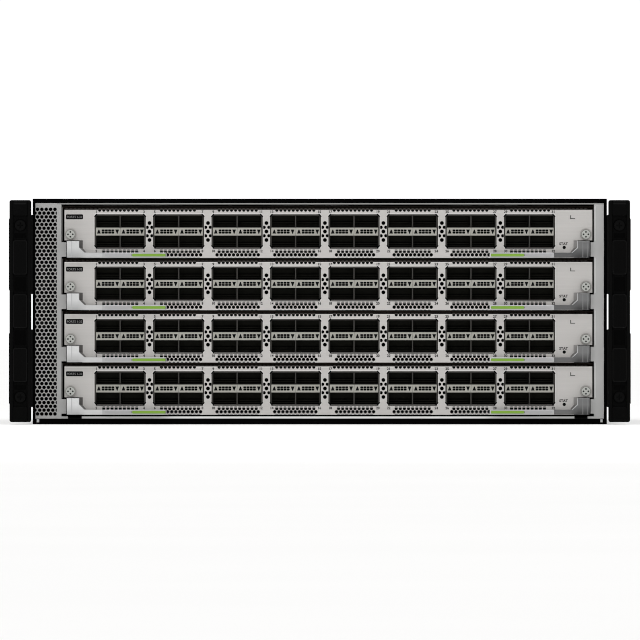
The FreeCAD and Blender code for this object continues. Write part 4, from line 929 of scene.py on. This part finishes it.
def flat_screws(name, way, places, level, out, radius, body, slot):
    """Countersunk screws with a cross recess; the cross and a ring round each head are painted shade. level is the
    sheet's face, out is +1 or -1 along its normal.
    """
    heads, marks = Piece(way), Piece(way)
    for a, b in places:
        lo, hi = sorted((level - 0.2 * out, level + 0.28 * out))
        heads.disc(a, b, radius, lo, hi, 28)
        lo, hi = sorted((level - 0.2 * out, level + 0.1 * out))
        marks.ring([(a + (radius + 0.75) * c, b + (radius + 0.75) * d) for c, d in CIRCLE], [(a + radius * c, b + radius * d) for c, d in CIRCLE], lo, hi)
        lo, hi = sorted((level, level + 0.32 * out))
        w, h = radius * 0.62, radius * 0.14
        marks.prism([(a - w, b - h), (a + w, b - h), (a + w, b + h), (a - w, b + h)], lo, hi)
        marks.prism([(a - h, b - w), (a + h, b - w), (a + h, b + w), (a - h, b + w)], lo, hi)
    heads.done(name + "_heads", "black_steel", body, slot, bevel=0.12)
    marks.done(name + "_recess_shades", "recess_shade", body, slot)


cover = Piece()
cover.box(-222.9, 222.9, -291.9, 285, 173.0, 174.1)
cover.box(-222.9, 222.9, -292.0, -290.9, 171.7, 175.0)
cover.done("top_cover_lip", "black", "chassis", "black_painted_steel", bevel=0.12, replaces=("top_cover",))
cover = Piece()
cover.box(-222.9, 222.9, -290.95, -206.0, 173.9, 174.7)
cover.box(-222.9, 222.9, -204.8, 285, 173.9, 174.55)
cover.done("top_cover_sheets", "cover_steel", "chassis", "black_painted_steel", bevel=0.3)
ribs = Piece("top")
for x in (-176, 176):
    ribs.prism(rounded(x - 6, x + 6, -186, 252, 5.9, 6), 174.4, 174.97)
for y in (-150, -60, 30, 120, 210):
    ribs.prism(rounded(-150, 150, y - 5.5, y + 5.5, 5.4, 6), 174.4, 174.97)
for x in (-110, 110):
    ribs.prism(rounded(x - 62, x + 62, -262, -234, 5.0, 6), 174.5, 174.97)
ribs.done("top_cover_ribs", "cover_steel", "chassis", "black_painted_steel", bevel=0.3, segments=3)
edges = Piece("top")
edges.ring(rounded(-222.4, 222.4, -204.3, 284.5, 3), rounded(-220.6, 220.6, -202.5, 282.7, 2), 174.4, 174.85)
edges.done("top_cover_hem", "cover_steel", "chassis", "black_painted_steel", bevel=0.15)
spots = [(sx * 213.5, y) for sx in (-1, 1) for y in (-192, -78, 36, 150, 270)] + [(x, 272) for x in (-120, -40, 40, 120)]
flat_screws("top_cover_screws", "top", spots, 174.55, 1, 3.0, "chassis", "black_screws")
flat_screws("front_band_screws", "top", [(x, y) for x in (-212, -70, 70, 212) for y in (-216,)] + [(-212, -280), (212, -280)], 174.66, 1, 3.0, "chassis", "black_screws")

for side, s in (("left", -1), ("right", 1)):
    flange = Piece()
    a, b = sorted((s * 222.9, s * 223.6))
    flange.box(a, b, -186, 284.5, 158.5, 173.9)
    a, b = sorted((s * 222.9, s * 223.3))
    flange.box(a, b, -187, 284.5, 0.4, 5.2)
    flange.box(a, b, 262, 284.5, 5.2, 158.5)
    a, b = sorted((s * 222.9, s * 223.02))
    flange.box(a, b, -189.8, 262.2, 5.0, 158.6)
    flange.done("side_flanges_" + side, "cover_steel", "chassis", "black_painted_steel", bevel=0.25)
    # pressed beads that stiffen the side
    beads = Piece("side")
    for z in (47.6, 88.2, 128.8):
        a, b = sorted((s * 222.8, s * 223.7))
        beads.prism(rounded(-172, 246, z - 3.2, z + 3.2, 3.1, 6), a, b)
    beads.done("side_beads_" + side, "cover_steel", "chassis", "black_painted_steel", bevel=0.4, segments=3)
    rivets = Piece("side")
    for z in (24.0, 68.0, 108.5, 147.0):
        for y in (-160, -70, 20):
            a, b = sorted((s * 222.8, s * 223.9))
            rivets.disc(y, z, 2.7, a, b, 20)
    for z in (20.0, 55.0, 90.0, 125.0):
        a, b = sorted((s * 223.2, s * 224.3))
        rivets.disc(274, z, 2.7, a, b, 20)
    rivets.done("side_rivets_" + side, "black_steel", "chassis", "black_screws", bevel=0.5, segments=3)
    # slotted openings for a rack shelf's hooks, with a raised rim; the openings are filled with painted shade
    rim, dark = Piece("side"), Piece("side")
    for z in (24.0, 147.0):
        for ya in (112.0, 196.0):
            a, b = sorted((s * 222.8, s * 223.5))
            outer = rounded(ya - 4.6, ya + 26.6, z - 4.6, z + 4.6, 4.5, 6)
            inner = rounded(ya - 3.4, ya + 25.4, z - 3.4, z + 3.4, 3.3, 6)
            rim.ring(outer, inner, a, b)
            a, b = sorted((s * 222.8, s * 223.12))
            dark.prism(inner, a, b)
    rim.done("side_slot_rims_" + side, "cover_steel", "chassis", "black_painted_steel", bevel=0.15)
    dark.done("side_slots_" + side, "recess_shade", "chassis", "black_painted_steel")
    flat_screws("side_flange_screws_" + side, "side", [(y, 166.2) for y in (-172, -60, 52, 164, 274)], s * 223.6, s, 2.9, "chassis", "black_screws")

# ------------------------------------------------------------------ back: fan modules
for number, place in ((1, -1), (2, 0), (3, 1)):
    cx, cz = 142.0 * place, 109.8
    body = "fan_module_%d" % number
    trim = Piece()
    trim.ring(rounded(cx - 70.4, cx + 70.4, 49.2, 170.4, 1.6), rounded(cx - 68.9, cx + 68.9, 50.7, 168.9, 1.0), 286.8, 287.9)
    big = [(math.cos(2 * math.pi * i / 72), math.sin(2 * math.pi * i / 72)) for i in range(72)]
    trim.ring([(cx + 58.6 * c, cz + 58.6 * d) for c, d in big], [(cx + 56.2 * c, cz + 56.2 * d) for c, d in big], 286.8, 288.4)
    trim.ring([(cx + 18.4 * c, cz + 18.4 * d) for c, d in big], [(cx + 16.6 * c, cz + 16.6 * d) for c, d in big], 286.8, 287.9)
    trim.done(body + "_trim", "fan", body, "fan_metal", bevel=0.25)
    # the screw slots and the lamp collar are painted shade
    heads, slots = Piece(), Piece()
    for sx in (-1, 1):
        for sz in (-1, 1):
            x, z = cx + sx * 52.5, cz + sz * 52.5
            heads.disc(x, z, 4.2, 286.8, 288.8, 32)
            slots.box(x - 2.5, x + 2.5, 288.6, 288.86, z - 0.5, z + 0.5)
            slots.box(x - 0.5, x + 0.5, 288.6, 288.86, z - 2.5, z + 2.5)
    for k in range(3):
        a = math.radians(90 + 120 * k)
        x, z = cx + 10.5 * math.cos(a), cz + 10.5 * math.sin(a)
        heads.disc(x, z, 2.4, 286.8, 288.2, 24)
        slots.box(x - 1.4, x + 1.4, 288.0, 288.25, z - 0.3, z + 0.3)
        slots.box(x - 0.3, x + 0.3, 288.0, 288.25, z - 1.4, z + 1.4)
    heads.done(body + "_screw_heads", "thumb", body, "fan_metal", bevel=0.5, segments=3)
    knobs = Piece()
    for sx in (-1, 1):
        x = cx + sx * 63.8
        knurl = [(x + (4.4 if i % 2 else 4.05) * math.cos(math.pi * i / 24), cz + (4.4 if i % 2 else 4.05) * math.sin(math.pi * i / 24)) for i in range(48)]
        knobs.prism(knurl, 288.6, 294.0)
        knobs.disc(x, cz, 3.6, 286.9, 294.6, 32)
        slots.box(x - 2.9, x + 2.9, 294.4, 294.66, cz - 0.55, cz + 0.55)
    knobs.done(body + "_thumb_screws", "thumb", body, "fan_metal", bevel=0.12)
    slots.done(body + "_screw_slots", "recess_shade", body, "fan_metal")
    lens = Piece()
    lens.disc(cx - 34.0, 164.4, 1.7, 286.9, 287.8, 24)
    lens.done(body + "_lamp", "lens_green", body, "fan_metal", bevel=0.3, segments=3)
    collar = Piece()
    small = [(math.cos(2 * math.pi * i / 24), math.sin(2 * math.pi * i / 24)) for i in range(24)]
    collar.ring([(cx - 34 + 2.5 * c, 164.4 + 2.5 * d) for c, d in small], [(cx - 34 + 1.7 * c, 164.4 + 1.7 * d) for c, d in small], 286.9, 287.5)
    collar.done(body + "_lamp_collar", "recess_shade", body, "fan_metal")
    lettering(body + "_number", [(str(number), cx + 34.0, 161.6, 7.0)], "ink_print", body, 287.02, bold=0.12, back=True)
    # the motor's struts inside the duct
    motor = Piece()
    motor.disc(cx, cz, 18.9, 262.0, 280.9, 48)
    for k in range(3):
        a = math.radians(30 + 120 * k)
        ux, uz = math.cos(a), math.sin(a)
        nx, nz = -uz * 1.6, ux * 1.6
        p = [(cx + 18 * ux + nx, cz + 18 * uz + nz), (cx + 57.5 * ux + nx, cz + 57.5 * uz + nz), (cx + 57.5 * ux - nx, cz + 57.5 * uz - nz), (cx + 18 * ux - nx, cz + 18 * uz - nz)]
        motor.prism(p, 266.0, 278.0)
    motor.ring([(cx + 59.3 * c, cz + 59.3 * d) for c, d in big], [(cx + 56.6 * c, cz + 56.6 * d) for c, d in big], 220.0, 284.9)
    motor.done(body + "_motor_frame", "rotor", body, "fan_metal", bevel=0.2)
    rotor = "fan_rotor_%d" % number
    cap = Piece()
    cap.ring([(cx + 20.6 * c, cz + 20.6 * d) for c, d in big], [(cx + 17.0 * c, cz + 17.0 * d) for c, d in big], 225.6, 227.0)
    cap.disc(cx, cz, 8.0, 225.4, 226.5, 32)
    cap.done(rotor + "_hub_rings", "coil", rotor, "rotor_plastic", bevel=0.2)

# ------------------------------------------------------------------ back: power supplies
for number, side, s in ((1, "left", -1), (2, "right", 1)):
    cx, body = s * 158.0, "supply_" + side
    trim = Piece()
    trim.ring(rounded(cx - 51.8, cx + 51.8, 3.4, 43.0, 1.2), rounded(cx - 50.4, cx + 50.4, 4.8, 41.6, 0.8), 286.4, 287.4)
    trim.box(cx + 41.5, cx + 49.5, 286.5, 287.8, 34.6, 39.8)
    trim.box(cx + 43.6, cx + 47.4, 287.6, 289.9, 35.6, 36.6)
    trim.done(body + "_trim", "supply", body, "supply_metal", bevel=0.2)
    block = Piece()
    for xa, xb in ((-48.4, -46.4), (-33.2, -30.8), (-17.6, -15.6)):
        block.box(cx + xa, cx + xb, 286.5, 293.4, 11.4, 35.0)
    block.box(cx - 48.0, cx - 16.0, 286.5, 288.4, 10.4, 12.6)
    block.box(cx - 48.0, cx - 16.0, 286.5, 288.4, 33.8, 36.0)
    block.box(cx - 46.6, cx - 17.4, 286.5, 290.06, 12.4, 34.0)
    block.done(body + "_terminal_block", "socket", body, "supply_metal", bevel=0.35)
    metal = Piece()
    for x in (cx - 40.0, cx - 24.0):
        metal.disc(x, 23.2, 5.4, 289.9, 290.7, 32)
        metal.disc(x, 23.2, 4.5, 290.6, 293.4, 6, math.radians(30))
        metal.disc(x, 23.2, 2.56, 293.0, 298.05, 24)
        for k in range(5):
            metal.disc(x, 23.2, 2.72, 293.6 + 0.85 * k, 294.0 + 0.85 * k, 24)
    for x in (cx - 48.6, cx + 12.0):
        metal.disc(x if x > cx else cx - 49.0, 39.0 if x > cx else 7.4, 1.5, 286.4, 287.3, 20)
    metal.done(body + "_terminal_nuts", "tin", body, "supply_metal", bevel=0.15)
    lens = Piece()
    lens.disc(cx + 33.0, 38.0, 1.4, 286.4, 287.3, 20)
    lens.done(body + "_lamp_ready", "lens_green", body, "supply_metal", bevel=0.25)
    lens = Piece()
    lens.disc(cx + 27.0, 38.0, 1.4, 286.4, 287.3, 20)
    lens.done(body + "_lamp_fault", "lens_amber", body, "supply_metal", bevel=0.25)
    lettering(body + "_marks", [("+", cx - 24.0, 36.6, 5.6), ("-", cx - 40.0, 36.9, 7.0), (str(number), cx + 19.0, 36.3, 4.6)], "ink_print", body, 286.62, bold=0.1, back=True)

# ------------------------------------------------------------------ back: panel between the supplies
# a dark sheet behind the mesh: painted shade
dark = Piece()
dark.box(-79.0, 79.0, 284.9, 285.12, 9.5, 41.5)
dark.done("rear_vent_back", "recess_shade", "chassis", "black_painted_steel")
mesh = Piece()
for row in range(6):
    for k in range(26 if row % 2 == 0 else 25):
        x = -75.0 + 6.0 * k + (0.0 if row % 2 == 0 else 3.0)
        z = 12.6 + 5.196 * row
        hexa = [(math.cos(math.radians(30 + 60 * i)), math.sin(math.radians(30 + 60 * i))) for i in range(6)]
        mesh.ring([(x + 3.46 * c, z + 3.46 * d) for c, d in hexa], [(x + 2.75 * c, z + 2.75 * d) for c, d in hexa], 285.05, 286.0)
mesh.done("rear_vent_mesh", "cover_steel", "chassis", "black_painted_steel")
frame_ring = Piece()
frame_ring.ring(rounded(-84.0, 84.0, 5.4, 45.6, 2.5), rounded(-78.6, 78.6, 9.8, 41.2, 1.0), 284.9, 286.4)
frame_ring.box(-222.4, 222.4, 284.9, 285.7, 171.2, 172.9)
frame_ring.done("rear_vent_frame", "cover_steel", "chassis", "black_painted_steel", bevel=0.3)
# the screw slots are painted shade
heads, slots, studs = Piece(), Piece(), Piece()
for x in (-81.3, 81.3):
    for z in (8.0, 43.0):
        heads.disc(x, z, 1.9, 286.2, 287.2, 24)
        slots.box(x - 1.2, x + 1.2, 287.0, 287.24, z - 0.25, z + 0.25)
        slots.box(x - 0.25, x + 0.25, 287.0, 287.24, z - 1.2, z + 1.2)
for z in (17.0, 33.0):
    studs.disc(94.5, z, 6.2, 284.9, 285.8, 32)
    studs.disc(94.5, z, 4.6, 285.7, 288.6, 6)
    studs.disc(94.5, z, 2.4, 288.5, 293.0, 24)
heads.done("rear_vent_screws", "black_steel", "chassis", "black_screws", bevel=0.3)
slots.done("rear_vent_screw_slots", "recess_shade", "chassis", "black_screws")
studs.done("ground_studs", "tin", "chassis", "grey_steel", bevel=0.25)

# ------------------------------------------------------------------ inside: each card's board and its parts
for card in (1, 2, 3, 4):
    zb = base(card)
    body = "card_%d" % card
    tag = "card_%d_" % card
    pcb = Piece()
    pcb.box(-179.5, 192.5, -286.3, 12.0, zb + 5.2, zb + 7.2)
    pcb.done(tag + "circuit_sheet", "board", body, "circuit_board", bevel=0.12, segments=1, replaces=(tag + "board",))
    plug = Piece()
    plug.box(-88.0, 101.0, -14.0, 20.4, zb + 7.2, zb + 17.0)
    for k in range(12):
        plug.box(-84.0 + 15.6 * k, -74.6 + 15.6 * k, -12.0, 18.0, zb + 16.9, zb + 17.9)
    plug.done(tag + "back_plug", "socket", body, "circuit_board", bevel=0.3)
    sinks = Piece()
    for x in (-132.0, -40.0, 52.0, 144.0):
        sinks.box(x - 24, x + 24, -190, -120, zb + 7.2, zb + 12)
        for k in range(9):
            sinks.box(x - 24 + 5.85 * k, x - 22.8 + 5.85 * k, -190, -120, zb + 11.9, zb + 29)
    sinks.done(tag + "heat_sinks", "sink", body, "circuit_board", bevel=0.15, segments=1)
    chips, coils, cans, tops = Piece(), Piece(), Piece("top"), Piece("top")
    for x in (-110.0, -66.0, 78.0, 122.0):
        chips.box(x - 11, x + 11, -90, -68, zb + 7.2, zb + 12.5)
        coils.box(x - 7, x + 7, -54, -34, zb + 7.2, zb + 15)
    for k in range(8):
        x = CAGE0 + CAGE_STEP * k
        for dx in (-10.0, 10.0):
            chips.box(x + dx - 5, x + dx + 5, -233, -223, zb + 7.2, zb + 8.7)
            chips.box(x + dx - 3, x + dx + 3, -214, -208, zb + 7.2, zb + 8.4)
    for k in range(10):
        cans.disc(-160.0 + 36.5 * k, -22.0 if -95 < -160.0 + 36.5 * k < 108 else -4.0, 4.0, zb + 7.6, zb + 17.0, 24)
        tops.disc(-160.0 + 36.5 * k, -22.0 if -95 < -160.0 + 36.5 * k < 108 else -4.0, 4.35, zb + 7.2, zb + 8.4, 24)
    chips.done(tag + "chips", "chip", body, "circuit_board", bevel=0.15, segments=1)
    coils.done(tag + "coils", "coil", body, "circuit_board", bevel=0.5)
    cans.done(tag + "capacitors", "can", body, "circuit_board", bevel=0.4)
    tops.done(tag + "capacitor_feet", "chip", body, "circuit_board")
    small = Piece()
    for i in range(46):
        for j, y in enumerate((-202.0, -110.0, -100.0, -62.0)):
            x = -172.0 + 7.9 * i + 1.3 * ((i * 7 + j * 5) % 3)
            if abs(x - 6.5) > 183:
                continue
            w, d = (0.9, 0.5) if (i + j) % 3 else (0.5, 1.0)
            if (i * 5 + j * 3) % 7 < 5:
                small.box(x - w, x + w, y - d, y + d, zb + 7.2, zb + 7.9)
    small.done(tag + "small_parts", "tin", body, "circuit_board")
    # the cage shells' holes are dark discs of painted shade
    shells, bores = Piece(), Piece("top")
    for k in range(8):
        x = CAGE0 + CAGE_STEP * k
        shells.box(x - 19.8, x + 19.8, -284.0, -240.2, zb + 33.7, zb + 33.98)
        shells.box(x - 19.8, x + 19.8, -240.4, -240.05, zb + 7.9, zb + 33.7)
        for i in range(6):
            for j in range(3):
                bores.disc(x - 15.5 + 6.2 * i, -276.0 + 13.0 * j, 1.5, zb + 33.9, zb + 34.02, 12)
    shells.done(tag + "cage_shells", "cage_shell", body, "cage_metal", bevel=0.1, segments=1)
    bores.done(tag + "cage_shell_holes", "recess_shade", body, "cage_metal")

# fabric board behind the midplane
pcb = Piece()
pcb.box(-150, 150, 38.2, 184, 46, 48.4)
pcb.done("fabric_sheet", "board", "chassis", "circuit_board", bevel=0.12, segments=1, replaces=("fabric_board",))
cool = Piece()
cool.box(-60, 60, 53.2, 173.2, 52, 57)
for k in range(15):
    x = -58.7 + k * 8.2
    cool.box(x, x + 2.6, 53.2, 173.2, 57, 100)
cool.done("fabric_cooler", "sink", "chassis", "circuit_board", bevel=0.2, segments=1)
chips = Piece()
chips.box(-34, 34, 79.2, 147.2, 48.4, 52)
for x in (-120, 120):
    chips.box(x - 14, x + 14, 73.2, 153.2, 48.4, 60)
chips.done("fabric_chips", "chip", "chassis", "circuit_board", bevel=0.3)

# ------------------------------------------------------------------ stage, light and camera
floor_mesh = bpy.data.meshes.new("floor")
fb = bmesh.new()
for x, y in ((-30, -30), (30, -30), (30, 30), (-30, 30)):
    fb.verts.new((x, y, -0.0002))
fb.verts.ensure_lookup_table()
fb.faces.new(fb.verts)
fb.to_mesh(floor_mesh)
fb.free()
floor = bpy.data.objects.new("floor", floor_mesh)
scene.collection.objects.link(floor)
pale = Net("pale_floor")
pale.set("Roughness", 0.9)
pale.set("Specular IOR Level", 0.1)
pale.colour(pale.mix(pale.noise((3, 3, 3), 2.0), (0.90, 0.90, 0.90), (0.93, 0.93, 0.93)))
floor_mesh.materials.append(pale.mat)

world = bpy.data.worlds.new("studio")
scene.world = world
world.use_nodes = True
wt = world.node_tree
wt.nodes.clear()
wo = wt.nodes.new("ShaderNodeOutputWorld")
seen = wt.nodes.new("ShaderNodeBackground")
seen.inputs[0].default_value = (1, 1, 1, 1)
seen.inputs[1].default_value = 1.05
felt = wt.nodes.new("ShaderNodeBackground")
path = wt.nodes.new("ShaderNodeLightPath")
mixw = wt.nodes.new("ShaderNodeMixShader")
wt.links.new(path.outputs["Is Camera Ray"], mixw.inputs[0])
wt.links.new(felt.outputs[0], mixw.inputs[1])
wt.links.new(seen.outputs[0], mixw.inputs[2])
wt.links.new(mixw.outputs[0], wo.inputs[0])
wc = wt.nodes.new("ShaderNodeTexCoord")
ws = wt.nodes.new("ShaderNodeSeparateXYZ")
wt.links.new(wc.outputs["Generated"], ws.inputs[0])
wr = wt.nodes.new("ShaderNodeMapRange")
wr.inputs["From Min"].default_value = -1.0
wr.inputs["From Max"].default_value = 1.0
wr.inputs["To Min"].default_value = 0.62
wr.inputs["To Max"].default_value = 0.54
wt.links.new(ws.outputs[0], wr.inputs["Value"])
wt.links.new(wr.outputs[0], felt.inputs[1])
felt.inputs[0].default_value = (1, 0.995, 0.985, 1)


def area(name, place, aim, size, power):
    light = bpy.data.lights.new(name, "AREA")
    light.shape = "RECTANGLE"
    light.size, light.size_y = size
    light.energy = power
    o = bpy.data.objects.new(name, light)
    o.location = place
    o.rotation_mode = "QUATERNION"
    o.rotation_quaternion = (Vector(aim) - Vector(place)).to_track_quat("-Z", "Y")
    scene.collection.objects.link(o)
    return o


area("key_front_top", (-0.45, -2.6, 1.5), (0, -0.25, 0.09), (2.6, 1.4), 14)
area("fill_left", (-2.2, -1.6, 0.8), (0, -0.2, 0.09), (1.2, 1.4), 3.6)
area("fill_right", (2.2, -1.6, 0.8), (0, -0.2, 0.09), (1.2, 1.4), 3.0)
sun = bpy.data.lights.new("overhead", "SUN")
sun.energy = 1.6
sun.angle = math.radians(12)
overhead = bpy.data.objects.new("overhead", sun)
overhead.location = (0, 0, 5)
scene.collection.objects.link(overhead)

cam = bpy.data.cameras.new("camera")
cam.type = "PERSP"
cam.sensor_width = 36.0
distance = 12.0
cam.lens = 36.0 * distance / (640 * 0.7766 / 1000)
cam.clip_start, cam.clip_end = 0.1, 100
camera = bpy.data.objects.new("camera", cam)
camera.location = (0.000155, -0.291 - distance, 0.08084)
camera.rotation_euler = (math.radians(90), 0, 0)
scene.collection.objects.link(camera)
scene.camera = camera
